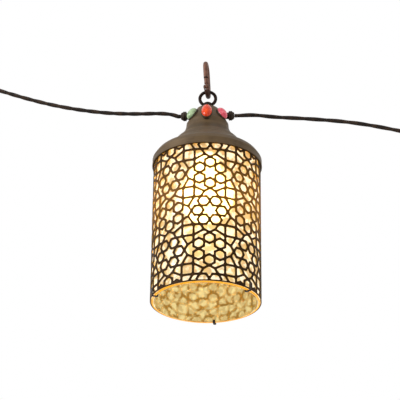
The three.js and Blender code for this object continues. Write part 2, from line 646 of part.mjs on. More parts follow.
// Twisted two-core lead, left and right, by hand along the photographed line: [x, height above the gland]
const leadRoutes = {
  left: [[-37, 1.3], [-42, 2.8], [-48, 3.7], [-55, 4.2], [-63, 4.3], [-75, 4.2], [-95, 4.6], [-115, 6],
    [-138, 9.1], [-161, 13.4], [-184, 19], [-208, 26.2], [-230, 33.7], [-246, 39.4], [-254, 42.3]],
  right: [[41, 0.3], [50, 0.5], [60, -0.3], [71, -1.8], [82, -3], [105, -4.7], [128, -6.8], [150, -9.2],
    [173, -12.8], [195, -17.4], [217, -22.7], [228, -25.4]],
};
const up = at(0, 0, 1);
const pinHoleDepth = pinLength + 1;
const connectorProfile = [[0, 0], [leadDiameter / 2 + 1, 0], [connectorRadius - 1.6, reliefLength],
  [connectorRadius, reliefLength + 1.2], [connectorRadius, connectorLength], [0, connectorLength]];
sides.forEach(([where, side]) => {
  const straight = [glandReach + gap, glandReach + gap + 3].map((reach) => [side * reach, 0]);
  const points = [...straight, ...leadRoutes[where]].map(([x, climb]) => at(x, 0, glandHeight + climb));
  const route = new THREE.CatmullRomCurve3(points, false, 'centripetal');
  add(`lead_${where}`, wire(route, leadDiameter / 2, 18), rubber);
  const direction = route.getTangent(1);
  const start = points.at(-1).clone().addScaledVector(direction, gap);
  const turn = new THREE.Quaternion().setFromUnitVectors(up, direction);
  const place = (mesh) => { mesh.position.copy(start); mesh.quaternion.copy(turn); };
  const body = revolve(connectorProfile, 10);
  const pinAt = (k, z0, z1, radius) => rod(radius, ...[z0, z1].map((z) => at(0, (k * pinSpacing) / 2, z)));
  const drilled = (depth) => geometryOf(cut(solid(body), ...[-1, 1].map((k) => solid(
    pinAt(k, connectorLength - depth, connectorLength + 2, pinRadius + gap)))));
  if (where === 'left') {
    add('plug_left', drilled(pinSeat), rubber, place);
    [-1, 1].forEach((k, i) => add(`plug_pin_${i + 1}`, pinAt(k, connectorLength - pinSeat + gap,
      connectorLength + pinLength, pinRadius), brass, place));
  } else {
    add('socket_right', drilled(pinHoleDepth), rubber, place);
  }
});

// Hanging ring
add('hanging_ring', new THREE.TorusGeometry(ringRadius, ringWire / 2, 6, 20).rotateX(Math.PI / 2)
  .translate(0, 0, ringHeight), darkIron);

// Snap hook: bent wire body, sprung gate on a rivet between two ears. Its pieces are made about the
// middle of the lower bow's wire, where the hook hangs in the ring, and lean together from there.
const hook = new THREE.Group();
const hookLow = -hookWire / 2;
const bowCentre = hookHalfWidth;
const topCentre = hookLow + hookLength - hookWire / 2 - hookHalfWidth;
const noseEnd = hookLow + noseRise;
class HookCurve extends THREE.Curve {
  getPoint(t) {
    const straight = topCentre - bowCentre;
    const arc = Math.PI * hookHalfWidth;
    const nose = topCentre - noseEnd;
    let s = t * (nose + arc + straight + rad(lowBowSweep) * hookHalfWidth);
    if (s <= nose) return at(0, -hookHalfWidth, noseEnd + s);
    s -= nose;
    if (s <= arc) {
      const turn = Math.PI - s / hookHalfWidth;
      return at(0, hookHalfWidth * Math.cos(turn), topCentre + hookHalfWidth * Math.sin(turn));
    }
    s -= arc;
    if (s <= straight) return at(0, hookHalfWidth, topCentre - s);
    s -= straight;
    const turn = -s / hookHalfWidth;
    return at(0, hookHalfWidth * Math.cos(turn), bowCentre + hookHalfWidth * Math.sin(turn));
  }
}
const hookCurve = new HookCurve();
const pivot = at(0, -hookHalfWidth, hookLow + hingeRise);
const bladeHalf = gateBlade / 2;
const earInside = bladeHalf + gap;
const earOutside = earInside + earSheet;
const across = (radius, { y, z }, x0, x1, count) => rod(radius, at(x0, y, z), at(x1, y, z), count);
const ears = [-1, 1].map((side) => wasm.Manifold.hull([[earRadius, pivot], [earRoot, hookCurve.getPoint(1)]]
  .map(([radius, middle]) => solid(across(radius, middle, side * earInside, side * earOutside, 12)))));
const rivetHole = solid(across(rivetRadius + gap, pivot, -6, 6, 8));
const hookBody = ears.reduce((whole, ear) => whole.add(ear), solid(wire(hookCurve, hookWire / 2, 20)));
add('snap_hook_body', geometryOf(hookBody.subtract(rivetHole)), hookBrown, (mesh) => hook.add(mesh));

const gateFoot = pivot.z + earRadius + 1.4;
const gate = joined(rod(gateRod / 2, at(0, pivot.y, gateFoot), at(0, pivot.y, noseEnd - noseGap)),
  box(-bladeHalf, bladeHalf, pivot.y - 1.8, pivot.y + 1.8, pivot.z, gateFoot + 1),
  across(knuckleRadius, pivot, -bladeHalf, bladeHalf, 8));
add('hook_gate', geometryOf(gate.subtract(rivetHole)), hookBrown, (mesh) => hook.add(mesh));
const rivetHalf = earOutside + gap;
const rivetHeads = [-1, 1].map((side) => across(rivetHead, pivot, side * rivetHalf,
  side * (rivetHalf + rivetHeadRise), 8));
const shank = across(rivetRadius, pivot, -rivetHalf - 0.2, rivetHalf + 0.2, 6);
add('gate_rivet', geometryOf(joined(shank, ...rivetHeads)), steel, (mesh) => hook.add(mesh));

// The origin is where the hook rests on what it hangs from
hook.position.z = ringHeight + ringRadius - ringWire / 2 - gap - hookWire / 2;
hook.rotation.set(0, -rad(hookLean), rad(hookTurn));
const hangPoint = at(0, 0, hookLow + hookLength - hookWire).applyEuler(hook.rotation).add(hook.position);
lantern.add(hook);
lantern.position.copy(hangPoint).negate();
export default lantern;
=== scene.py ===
import json
from math import atan2, cos, hypot, pi, radians, sin, sqrt, tan

import bmesh
import bpy
from mathutils import Color, Euler, Matrix, Vector

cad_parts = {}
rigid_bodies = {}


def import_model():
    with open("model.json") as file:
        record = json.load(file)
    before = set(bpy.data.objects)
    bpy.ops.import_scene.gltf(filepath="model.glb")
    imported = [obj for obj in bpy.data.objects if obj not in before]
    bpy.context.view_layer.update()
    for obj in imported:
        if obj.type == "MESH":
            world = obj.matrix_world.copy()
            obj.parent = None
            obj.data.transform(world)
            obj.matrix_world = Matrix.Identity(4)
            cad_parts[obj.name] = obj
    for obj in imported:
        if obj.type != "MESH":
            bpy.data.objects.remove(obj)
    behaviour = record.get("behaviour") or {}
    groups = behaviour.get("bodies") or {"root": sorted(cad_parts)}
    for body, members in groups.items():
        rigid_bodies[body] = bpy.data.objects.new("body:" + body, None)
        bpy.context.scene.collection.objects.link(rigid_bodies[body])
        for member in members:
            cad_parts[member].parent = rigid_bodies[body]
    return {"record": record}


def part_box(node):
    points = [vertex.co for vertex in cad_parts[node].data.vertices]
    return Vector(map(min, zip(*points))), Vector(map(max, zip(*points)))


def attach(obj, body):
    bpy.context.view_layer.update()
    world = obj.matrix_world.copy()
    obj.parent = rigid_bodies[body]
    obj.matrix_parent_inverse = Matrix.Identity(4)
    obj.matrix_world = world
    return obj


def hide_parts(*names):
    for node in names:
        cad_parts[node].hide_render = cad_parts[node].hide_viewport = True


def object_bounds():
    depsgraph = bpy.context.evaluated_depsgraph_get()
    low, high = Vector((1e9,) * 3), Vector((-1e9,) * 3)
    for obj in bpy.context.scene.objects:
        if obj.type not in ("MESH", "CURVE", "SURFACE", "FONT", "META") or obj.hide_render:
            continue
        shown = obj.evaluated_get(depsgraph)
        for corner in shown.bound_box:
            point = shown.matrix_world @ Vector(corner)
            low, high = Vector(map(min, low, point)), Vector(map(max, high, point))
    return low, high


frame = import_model()
cad_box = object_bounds()

# Camera and light. The photograph looks up at the lantern from in front and below, through a long lens.
# Lamps and world light it evenly; the camera, metal and glass see a white surround.
MM = 0.001
scene = bpy.context.scene
liner_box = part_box("liner_tube")
axis_x = (liner_box[0].x + liner_box[1].x) / 2
lantern_foot = liner_box[0].z
to_lantern = Matrix.Translation((axis_x, 0, lantern_foot)) @ Matrix.Scale(MM, 4)
camera_right, camera_front, camera_below = 0.07306, 1.48141, 0.61023
camera_tilt, camera_roll, camera_turn = radians(116.32), radians(-0.637), radians(2.798)
shutter = bpy.data.cameras.new("photo_camera")
shutter.sensor_width = 36
shutter.lens = 134.25
camera = bpy.data.objects.new("photo_camera", shutter)
camera.location = (axis_x + camera_right, -camera_front, lantern_foot - camera_below)
camera.rotation_euler = Euler((camera_tilt, camera_roll, camera_turn))
scene.collection.objects.link(camera)
scene.camera = camera
scene.view_settings.view_transform = "Standard"

daylight = 0.75
world = bpy.data.worlds.new("studio")
scene.world = world
world.use_nodes = True
studio = world.node_tree
background = studio.nodes["Background"]
background.inputs["Color"].default_value = (1, 1, 1, 1)
rays = studio.nodes.new("ShaderNodeLightPath")


def either(first, second):
    """A studio value that is 1 where one of two sockets is, and else 0."""
    node = studio.nodes.new("ShaderNodeMath")
    node.operation = "ADD"
    node.use_clamp = True
    studio.links.new(first, node.inputs[0])
    studio.links.new(second, node.inputs[1])
    return node.outputs[0]


mirrored = either(rays.outputs["Is Glossy Ray"], rays.outputs["Is Transmission Ray"])
strength = studio.nodes.new("ShaderNodeMapRange")
strength.inputs["To Min"].default_value = daylight
studio.links.new(either(rays.outputs["Is Camera Ray"], mirrored), strength.inputs["Value"])
studio.links.new(strength.outputs[0], background.inputs["Strength"])


def softbox(name, place, aim, width, power):
    """A round lamp at a place, aimed at another."""
    lamp = bpy.data.lights.new(name, "AREA")
    lamp.shape = "DISK"
    lamp.size = width
    lamp.energy = power
    holder = bpy.data.objects.new(name, lamp)
    holder.location = place
    holder.rotation_euler = (Vector(aim) - Vector(place)).to_track_quat("-Z", "Y").to_euler()
    scene.collection.objects.link(holder)


def object_of(name, bm):
    """A new object of a mesh, which it uses up."""
    mesh = bpy.data.meshes.new(name)
    bm.to_mesh(mesh)
    bm.free()
    made = bpy.data.objects.new(name, mesh)
    scene.collection.objects.link(made)
    return made


def posed(bm, shift, angle=0, axis="Y"):
    """The mesh, turned by that angle about an axis and then shifted."""
    bmesh.ops.rotate(bm, verts=bm.verts, matrix=Matrix.Rotation(angle, 3, axis))
    bmesh.ops.translate(bm, verts=bm.verts, vec=shift)
    return bm


lit_place = (cad_box[0] + cad_box[1]) / 2
softbox("key_softbox", (-1.7, -1.0, 0.5), lit_place, 1.2, 34)
softbox("fill_softbox", (1.5, -1.2, -0.9), lit_place, 1.4, 8)
floor_depth, floor_half = 2.6, 30
ground = bmesh.new()
bmesh.ops.create_grid(ground, x_segments=1, y_segments=1, size=floor_half)
floor_piece = object_of("studio_floor", posed(ground, (0, 0, -floor_depth)))
paint = bpy.data.materials.new("floor_paint")
paint.use_nodes = True
floor_coat = paint.node_tree.nodes["Principled BSDF"]
floor_coat.inputs["Base Color"].default_value = (0.86, 0.86, 0.85, 1)
floor_coat.inputs["Roughness"].default_value = 0.9
floor_piece.data.materials.append(paint)


# The pierced shade: thin steel sheet, cut through with a star pattern, rolled into a tube and painted
# dark brown. A painted glow of the lamp's light lies on it, brightest at the lamp's own height, and its
# inside is painted tan gold in place of the lamp's light on the dark paint.
class Value:
    """A shader socket that takes part in sums, products and powers."""

    def __init__(self, finish, socket):
        self.finish = finish
        self.socket = socket

    def maths(self, operation, *terms):
        return self.finish.add("Math", terms, operation=operation)

    def __add__(self, other):
        return self.maths("ADD", self, other)

    def __sub__(self, other):
        return self.maths("SUBTRACT", self, other)

    def __rsub__(self, other):
        return self.maths("SUBTRACT", other, self)

    def __mul__(self, other):
        return self.maths("MULTIPLY", self, other)

    def __pow__(self, other):
        return self.maths("POWER", self, other)

    __radd__ = __add__
    __rmul__ = __mul__

    def between(self, low, high):
        """0 below low and 1 above high, with a smooth step; low may be the larger."""
        ends = [self, min(low, high), max(low, high)]
        step = self.finish.add("MapRange", ends, interpolation_type="SMOOTHSTEP")
        return step if low < high else 1 - step

    def away_from(self, level):
        return ((self - level) ** 2) ** 0.5

    def blend(self, first, second):
        """A colour from first, where the value is 0, to second, at 1. Sockets 6, 7 and 2 are the colours."""
        return self.finish.add("Mix", {0: self, 6: first, 7: second}, 2, data_type="RGBA")

    def bump(self, depth=0.00005):
        """Surface relief from a height of 0 to 1, as deep as depth in metres."""
        return self.finish.add("Bump", {"Distance": depth, "Height": self, "Strength": 1.0})


def paint_of(hex_colour):
    """A colour written as on a screen, in the linear values that Blender's sockets take."""
    parts = [int(hex_colour[i:i + 2], 16) / 255 for i in (1, 3, 5)]
    return (*Color(parts).from_srgb_to_scene_linear(), 1)


class Finish:
    """A node material; its surface is a Principled shader unless a recipe mixes it with others."""

    def __init__(self, name, **constants):
        self.material = bpy.data.materials.new(name)
        self.material.use_nodes = True
        self.tree = self.material.node_tree
        self.shader = self.tree.nodes["Principled BSDF"]
        self.surface(**constants)

    def link(self, value, socket):
        if isinstance(value, Value):
            self.tree.links.new(value.socket, socket)
        elif socket.type == "RGBA" and isinstance(value, str):
            socket.default_value = paint_of(value)
        else:
            socket.default_value = value

    def add(self, kind, inputs=(), output=0, **settings):
        """What a new node of that kind puts out; inputs go by number or by name."""
        node = self.tree.nodes.new("ShaderNode" + kind)
        for name, value in settings.items():
            setattr(node, name, value)
        for socket, value in inputs.items() if isinstance(inputs, dict) else enumerate(inputs):
            self.link(value, node.inputs[socket])
        return Value(self, node.outputs[output])

    def surface(self, **sockets):
        for name, value in sockets.items():
            self.link(value, self.shader.inputs[name.replace("_", " ")])
        return self

    def mixed(self, share, first, second):
        """Two shaders, with that share of the second."""
        return self.add("MixShader", [share, first, second])

    def covered_by(self, shader):
        self.tree.links.new(shader.socket, self.tree.nodes["Material Output"].inputs["Surface"])

    def where(self):
        return self.add("TexCoord", output="Object")

    def place(self):
        """Where a point lies along X, Y and Z, in metres."""
        along_x = self.add("SeparateXYZ", [self.where()])
        return [Value(self, part) for part in along_x.socket.node.outputs]

    def about_axis(self):
        """How far a point is from the lantern's axis, and its height."""
        x, y, z = self.place()
        return ((x - axis_x) ** 2 + y ** 2) ** 0.5, z

    def noise(self, size, detail=3, roughness=0.5, vector=None):
        """Noise of about that size in metres, from 0 to 1."""
        return self.add("TexNoise", {"Vector": vector or self.where(), "Scale": 1 / size,
                                     "Detail": detail, "Roughness": roughness})


def piece(name, bm, finish, node, body="lantern", place=to_lantern, crease=35):
    """Puts a mesh made in millimetres about the lantern's foot into the frame, in place of a CAD node."""
    bmesh.ops.transform(bm, matrix=place, verts=bm.verts)
    made = object_of(name, bm)
    made.data.shade_smooth()
    made.data.set_sharp_from_angle(angle=radians(crease))
    made.data.materials.append(finish.material)
    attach(made, body)
    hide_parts(node)
    return made


shade_radius, sheet = 60, 1.2
sheet_foot, sheet_top, pattern_top = 1, 171, 164.4
foot_band, bar = 1.2, 2.3
least_opening, slimmest = 5, 0.62
corner_cut, least_cut, cut_share, widest_corner = 1.7, 0.2, 0.46, radians(150)
columns, row_pitch, top_row = 8, 45, 127.4
petal_side = 6.6
shade_turn = radians(6)
repeat = 2 * pi * shade_radius / columns


def verts_in(geom):
    return [item for item in geom if isinstance(item, bmesh.types.BMVert)]


def rosette():
    """One repeat of the pattern, one unit wide, flat, about a rosette's centre: the tiles that turn with
    it are six petals round a star, two bows, four boots and four kites."""
    s = petal_side / repeat
    flat = 1.5 * sqrt(3) * s
    cell = bmesh.new()
    star = bmesh.ops.create_circle(cell, cap_ends=True, segments=12, radius=s)["verts"]
    bmesh.ops.scale(cell, verts=star[1::2], vec=(sqrt(3), sqrt(3), 1))
    for k in range(6):
        petal = bmesh.ops.create_circle(cell, cap_ends=True, segments=6, radius=s)["verts"]
        middle = Matrix.Rotation(radians(60 * k), 3, "Z") @ Vector((0, 2 * s, 0))
        bmesh.ops.translate(cell, verts=petal, vec=middle)
    half = sqrt(3) * s / 2
    boot = [(flat, flat), (0.9 * s, 0.5), (0, 3 * s), (half, 2.5 * s), (half, 1.5 * s), (2 * half, 2 * s),
            (flat, 1.5 * s)]
    kite = [(flat, flat), (flat, 1.5 * s), (0.5, 0.9 * s), (1 - flat, flat)]
    bow = [(2 * half, 0), (flat, -0.5 * s), (flat, -1.5 * s), (0.5, -0.9 * s), (1 - 3 * s, 0), (0.5, 0.9 * s),
           (flat, 1.5 * s), (flat, 0.5 * s)]
    corners = [cell.faces.new([cell.verts.new((x, y, 0)) for x, y in tile]) for tile in (boot, kite)]
    quarter = corners + [part for face in corners for part in (*face.verts, *face.edges)]
    for turns in ((1, -1), (-1, 1), (-1, -1)):
        copy = bmesh.ops.duplicate(cell, geom=quarter)["geom"]
        bmesh.ops.scale(cell, verts=verts_in(copy), vec=(*turns, 1))
    for side in (1, -1):
        cell.faces.new([cell.verts.new((side * x, y, 0)) for x, y in bow])
    return cell, flat


def flat_pattern():
    """The whole sheet's tiles, laid flat in millimetres: x runs along the girth and y up."""
    cell, flat = rosette()
    sheet_bm = bmesh.new()
    mould = bpy.data.meshes.new("rosette")
    cell.to_mesh(mould)
    cell.free()
    for row in range(-1, 4):
        for column in range(columns):
            before = len(sheet_bm.verts)
            sheet_bm.from_mesh(mould)
            sheet_bm.verts.ensure_lookup_table()
            fresh = sheet_bm.verts[before:]
            if (row + column) % 2:
                bmesh.ops.rotate(sheet_bm, verts=fresh, matrix=Matrix.Rotation(pi / 2, 3, "Z"))
            square = [sheet_bm.verts.new((x, y, 0)) for x, y in ((flat, flat), (1 - flat, flat),
                                                                 (1 - flat, 1 - flat), (flat, 1 - flat))]
            sheet_bm.faces.new(square)
            bmesh.ops.translate(sheet_bm, verts=fresh + square, vec=(column, -row, 0))
    bpy.data.meshes.remove(mould)
    bmesh.ops.scale(sheet_bm, verts=sheet_bm.verts, vec=(repeat, row_pitch, 1))
    bmesh.ops.translate(sheet_bm, verts=sheet_bm.verts, vec=(0, top_row, 0))
    bmesh.ops.remove_doubles(sheet_bm, verts=sheet_bm.verts, dist=0.01)
    for face in sheet_bm.faces:
        if face.normal.z < 0:
            face.normal_flip()
    return sheet_bm


def cut(bm, place, facing, drop=False):
    """Cuts the flat sheet along a plane, and can drop what is beyond it."""
    bmesh.ops.bisect_plane(bm, geom=bm.verts[:] + bm.edges[:] + bm.faces[:], dist=1e-4, plane_co=place,
                           plane_no=facing, clear_outer=drop)


def band_edge(bm, level, shift):
    """Draws the sheet's plain edge out from the cut line."""
    rim = [e for e in bm.edges if e.is_boundary and all(abs(v.co.y - level) < 1e-3 for v in e.verts)]
    drawn = bmesh.ops.extrude_edge_only(bm, edges=rim)["geom"]
    bmesh.ops.translate(bm, verts=verts_in(drawn), vec=(0, shift, 0))


def opens(tile):
    """Whether a tile is cut out: enough of it is left inside its bars, and it isn't too slim."""
    girth = sum(e.calc_length() for e in tile.edges)
    corners = sum(1 / tan(loop.calc_angle() / 2) for loop in tile.loops)
    left_open = tile.calc_area() - girth * bar / 2 + corners * (bar / 2) ** 2
    return left_open > least_opening and 2 * tile.calc_area() > girth * bar * slimmest


def round_corners(bm, tile):
    """Opens a tile, and leaves a little of the sheet in its corners, with a curved edge."""
    rim = [loop.vert for loop in tile.loops]
    cuts = []
    for before, loop, after in zip([rim[-1], *rim], tile.loops, [*rim[1:], rim[0]]):
        corner = loop.vert.co.copy()
        arms = (before.co - corner, after.co - corner)
        reach = min(corner_cut, *(cut_share * arm.length for arm in arms))
        if loop.is_convex and loop.calc_angle() < widest_corner and reach > least_cut:
            cuts.append((loop.vert, corner, *(corner + arm.normalized() * reach for arm in arms)))
    bm.faces.remove(tile)
    for vert, corner, first, last in cuts:
        ends = []
        for place in (first, last):
            aim = (place - corner).normalized()
            edge = max((e for e in vert.link_edges if e.is_boundary),
                       key=lambda e: (e.other_vert(vert).co - corner).normalized().dot(aim))
            ends.append(bmesh.utils.edge_split(edge, vert, (place - corner).length / edge.calc_length())[1])
        curve = [bm.verts.new(corner * (2 * s * (1 - s)) + first * (1 - s) ** 2 + last * s ** 2)
                 for s in (0.25, 0.5, 0.75)]
        bm.faces.new([vert, ends[0], *curve, ends[1]])


def closed_up(bm, gap=1e-4):
    """The mesh, with doubled corners merged and its faces turned outwards."""
    bmesh.ops.remove_doubles(bm, verts=bm.verts, dist=gap)
    bmesh.ops.recalc_face_normals(bm, faces=bm.faces)
    return bm


pierced = flat_pattern()
low_cut = sheet_foot + foot_band - bar / 2
cut(pierced, (0, pattern_top, 0), (0, 1, 0), True)
cut(pierced, (0, low_cut, 0), (0, -1, 0), True)
roomy = [tile for tile in pierced.faces if opens(tile)]
bmesh.ops.inset_individual(pierced, faces=roomy, thickness=bar / 2, use_even_offset=True)
for tile in roomy:
    round_corners(pierced, tile)
band_edge(pierced, pattern_top, sheet_top - pattern_top)
band_edge(pierced, low_cut, sheet_foot - low_cut)
panels = 120
for k in range(-columns * 2, panels + columns * 2):
    cut(pierced, (k * 2 * pi * shade_radius / panels, 0, 0), (1, 0, 0))
for corner in pierced.verts:
    turn = corner.co.x / shade_radius + shade_turn
    corner.co = (shade_radius * sin(turn), -shade_radius * cos(turn), corner.co.y)

shade_iron = Finish("dark_iron", Metallic=0.1, Specular_IOR_Level=0.08, Emission_Strength=1.0)
reach, z = shade_iron.about_axis()
inner = reach.between((shade_radius - 0.2) * MM, (shade_radius - 0.9) * MM)
patches = shade_iron.noise(0.006, 4)
specks = shade_iron.noise(0.0008, 2)
outside = patches.between(0.35, 0.75).blend("#1f1202", "#3a2308")
outside = (specks.between(0.62, 0.8) * 0.35).blend(outside, "#684418")
# Painted light: the inner face is painted tan gold to stand for the lamp's light on the dark paint.
painted_lit_inside = patches.between(0.3, 0.8).blend("#93701f", "#b8933f")
# Painted glow: the bars' emission is warmest at the lamp's height and fades out within about 55 mm.
painted_lamp_glow = z.away_from(lantern_foot + 108 * MM).between(0.055, 0)
shade_iron.surface(Base_Color=inner.blend(outside, painted_lit_inside), Roughness=0.42 + patches * 0.25,
                   Normal=specks.bump(), Emission_Color=painted_lamp_glow.blend("#0a0501", "#6e4818"))
shade = piece("pierced_sheet", closed_up(pierced, 0.02), shade_iron, "pierced_shade")
wall = shade.modifiers.new("sheet", "SOLIDIFY")
wall.thickness = sheet * MM
wall.offset = -1
wall.use_even_offset = True
softened = shade.modifiers.new("etched_edge", "BEVEL")
softened.width = 0.22 * MM
softened.segments = 1
softened.limit_method = "ANGLE"
softened.angle_limit = radians(50)


# The liner: a glass tube inside the shade that keeps rain off the lamp. Its outer face is lightly frosted
# and carries a painted glow of the lamp's light, paler in soft clouds and dimmer near the top; the cut end
# at its foot has a painted amber glow.
def turned(profile, steps=96):
    """A profile of (radius, height), spun about the lantern's axis. One that leaves the axis is closed."""
    bm = bmesh.new()
    points = [bm.verts.new((r, 0, z)) for r, z in profile]
    edges = [bm.edges.new(pair) for pair in zip(points, points[1:])]
    if profile[0][0] > 0 or profile[-1][0] > 0:
        edges.append(bm.edges.new((points[-1], points[0])))
    bmesh.ops.spin(bm, geom=points + edges, cent=(0, 0, 0), axis=(0, 0, 1), angle=2 * pi, steps=steps,
                   use_merge=True)
    return closed_up(bm)


def eased(bm, width, angle=30, segments=2, chosen=lambda edge: True):
    """The mesh with its sharp edges rounded, or the chosen ones of them."""
    sharp = [e for e in bm.edges if e.is_manifold and e.calc_face_angle(0) > radians(angle) and chosen(e)]
    bmesh.ops.bevel(bm, geom=sharp, offset=width, offset_type="OFFSET", segments=segments, profile=0.5,
                    affect="EDGES", material=-1, clamp_overlap=True)
    return bm


liner_outer, liner_wall = 58.2, 3
liner_inner = liner_outer - liner_wall
liner_glass = Finish("liner_glass", Roughness=0.25, Specular_IOR_Level=0.2, Emission_Strength=4.0)
reach, z = liner_glass.about_axis()
frosted = reach.between((liner_outer - 1.2) * MM, (liner_outer - 0.5) * MM)
inward = reach.between((liner_inner + 1) * MM, (liner_inner + 0.4) * MM)
painted_glow_end = (z.between(lantern_foot + 0.0022, lantern_foot + 0.0008)
           * reach.between((liner_inner + 0.8) * MM, (liner_inner + 1.3) * MM))
cloud = liner_glass.noise(0.008, 2)
height = z.between(lantern_foot, lantern_foot + 0.165)
# Painted glow of the lamp's light on the frosted face, paler in cloud patches and a little dimmer at the top.
glow = height.blend("#b49864", "#a08050")
glow = (cloud.between(0.44, 0.58) * 0.92).blend(glow, "#fff9e6")
# Painted amber glow at the cut end, over a dark amber base colour.
glow = painted_glow_end.blend(glow, "#906000")
tint = painted_glow_end.blend(cloud.blend("#f2e2bd", "#e6cf9c"), "#6a3a04")
liner_glass.surface(Base_Color=tint, Emission_Color=glow)
haze = Value(liner_glass, liner_glass.shader.outputs[0])
passing = liner_glass.mixed(inward, *(liner_glass.add("BsdfTransparent", {"Color": hue})
                                      for hue in ("#ffffff", "#c4b684")))
through = liner_glass.add("BsdfTranslucent", {"Color": (1, 0.93, 0.75, 1)})
halo = liner_glass.add("BsdfRefraction", {"Color": (1, 0.95, 0.85, 1), "Roughness": 0.5, "IOR": 1.05})
polish = liner_glass.add("BsdfGlossy", {"Color": (1, 1, 1, 1), "Roughness": 0.08})
slant = liner_glass.add("LayerWeight", {"Blend": 0.5}, "Facing")
wall_share = 1 - painted_glow_end
frost = liner_glass.mixed(wall_share * 0.4, liner_glass.mixed(wall_share * 0.4, haze, through), halo)
share = frosted * (0.5 + cloud * 0.1) * wall_share + painted_glow_end * 0.85
whole = liner_glass.mixed(share, passing, frost)
liner_glass.covered_by(liner_glass.mixed((0.04 + (slant ** 5) * 0.5) * wall_share, whole, polish))
liner = turned([(liner_inner, 0), (liner_outer, 0), (liner_outer, sheet_top), (liner_inner, sheet_top)], 128)
piece("clear_liner", eased(liner, 0.4), liner_glass, "liner_tube")


# Three sheet clips hook under the shade and the liner, and hold the liner up. They are bent from strip
# and painted like the shade.
clip_turns = [-67, 53, 173]
clip_width, clip_sheet, seat = 3, 0.8, 0.3
outer_leg, inner_leg = sheet_foot + 7, 2.5
clip_outer = shade_radius + seat + clip_sheet
clip_inner = liner_inner - seat - clip_sheet


def strip_clip():
    """The bent strip's section, drawn out to its width and eased at its bends."""
    floor_height = -seat - clip_sheet
    section = [(clip_outer, floor_height), (clip_outer, outer_leg), (clip_outer - clip_sheet, outer_leg),
               (clip_outer - clip_sheet, -seat), (clip_inner + clip_sheet, -seat),
               (clip_inner + clip_sheet, inner_leg), (clip_inner, inner_leg), (clip_inner, floor_height)]
    bm = bmesh.new()
    side = bm.faces.new([bm.verts.new((r, -clip_width / 2, z)) for r, z in section])
    drawn = bmesh.ops.extrude_face_region(bm, geom=[side])["geom"]
    bmesh.ops.translate(bm, verts=verts_in(drawn), vec=(0, clip_width, 0))
    return eased(closed_up(bm), 0.25)


def clouded(name, fresh, worn, patch, ends, gloss, relief=None, depth=0.00005, **constants):
    """A finish that changes from fresh to worn where its patches, of a size and detail, lie between the
    ends. Gloss is a roughness and how much the patches add; relief is finer noise for the bump."""
    finish = Finish(name, **constants)
    rub = finish.noise(*patch)
    height = finish.noise(*relief) if relief else rub
    return finish.surface(Base_Color=rub.between(*ends).blend(fresh, worn),
                          Roughness=gloss[0] + rub * gloss[1], Normal=height.bump(depth))


def worn_metal(name, fresh, worn, size, metallic=0.6, gloss=0.34, shine=0.5):
    """Painted or bare metal that changes in patches of about that size from fresh to worn."""
    return clouded(name, fresh, worn, (size, 4), (0.45, 0.75), (gloss, 0.3), Metallic=metallic,
                   Specular_IOR_Level=shine)


clip_iron = worn_metal("clip_iron", "#231910", "#4b3824", 0.0015, 0.5)
for i, turn in enumerate(clip_turns, 1):
    clip = posed(strip_clip(), (0, 0, 0), radians(turn - 90), "Z")
    piece(f"bent_clip_{i}", clip, clip_iron, f"liner_clip_{i}")


# The cap: spun from one sheet, with a rolled hem over the shade, a shoulder, a neck and a conical crown.
# The fine rings of the spinning tool show through its taupe bronze coat.
def curve_through(points, step):
    """Points about a step apart on a smooth curve through the given ones, whose ends run straight."""
    given = [Vector(p) for p in points]
    line = [given[0] * 2 - given[1], *given, given[-1] * 2 - given[-2]]
    made = []
    for a, b, c, d in zip(line, line[1:], line[2:], line[3:]):
        t1 = (b - a).length ** 0.5
        t2 = t1 + (c - b).length ** 0.5
        t3 = t2 + (d - c).length ** 0.5
        parts = max(1, round((c - b).length / step))
        for k in range(parts):
            t = t1 + (t2 - t1) * k / parts
            ab = a.lerp(b, t / t1)
            bc = b.lerp(c, (t - t1) / (t2 - t1))
            cd = c.lerp(d, (t - t2) / (t3 - t2))
            made.append(ab.lerp(bc, t / t2).lerp(bc.lerp(cd, (t - t1) / (t3 - t1)), (t - t1) / (t2 - t1)))
    return made + [given[-1]]


skirt_outer, skirt_foot, skirt_top = 61.3, 163.3, 172.1
neck_radius, neck_foot, neck_top = 23.9, 196, 218
crown_radius, crown_top, crown_wall = 12.6, 238.8, 3
ledge_height, ledge_inner, ledge_outer = 213.5, 17.9, 21.9
shoulder = [(skirt_outer, skirt_top - 0.8), (59.2, 174.6), (57.1, 177.4), (52, 180.9), (41.5, 188.6),
            (35.6, neck_foot), (31, 200.6), (27, 206.1), (24.6, 212.1), (neck_radius, neck_top)]
outer_side = curve_through(shoulder, 1.2)
hem = [(skirt_outer + out, skirt_foot + up)
       for out, up in ((-0.7, 0.3), (-0.35, 0), (0.1, 0.2), (0.25, 0.8), (0, 1.5))]
crown = [(neck_radius - 0.5, neck_top + 0.9), (crown_radius, crown_top - 0.8),
         (crown_radius - 1.6, crown_top), (0, crown_top)]
hollow = [(0, crown_top - crown_wall), (10.5, crown_top - crown_wall), (ledge_inner, neck_top + 2),
          (ledge_inner, ledge_height), (ledge_outer, ledge_height), (ledge_outer, 209), (29.5, 199),
          (34.1, 194.4), (50.5, 179.3), (60.6, skirt_top - 0.5)]


def on_crown_edge(edge):
    corner = edge.verts[0].co
    return corner.z > neck_top - 3 and hypot(corner.x, corner.y) > 10


cap = eased(turned(hem + outer_side + crown + hollow, 144), 0.5, 24, 3, on_crown_edge)

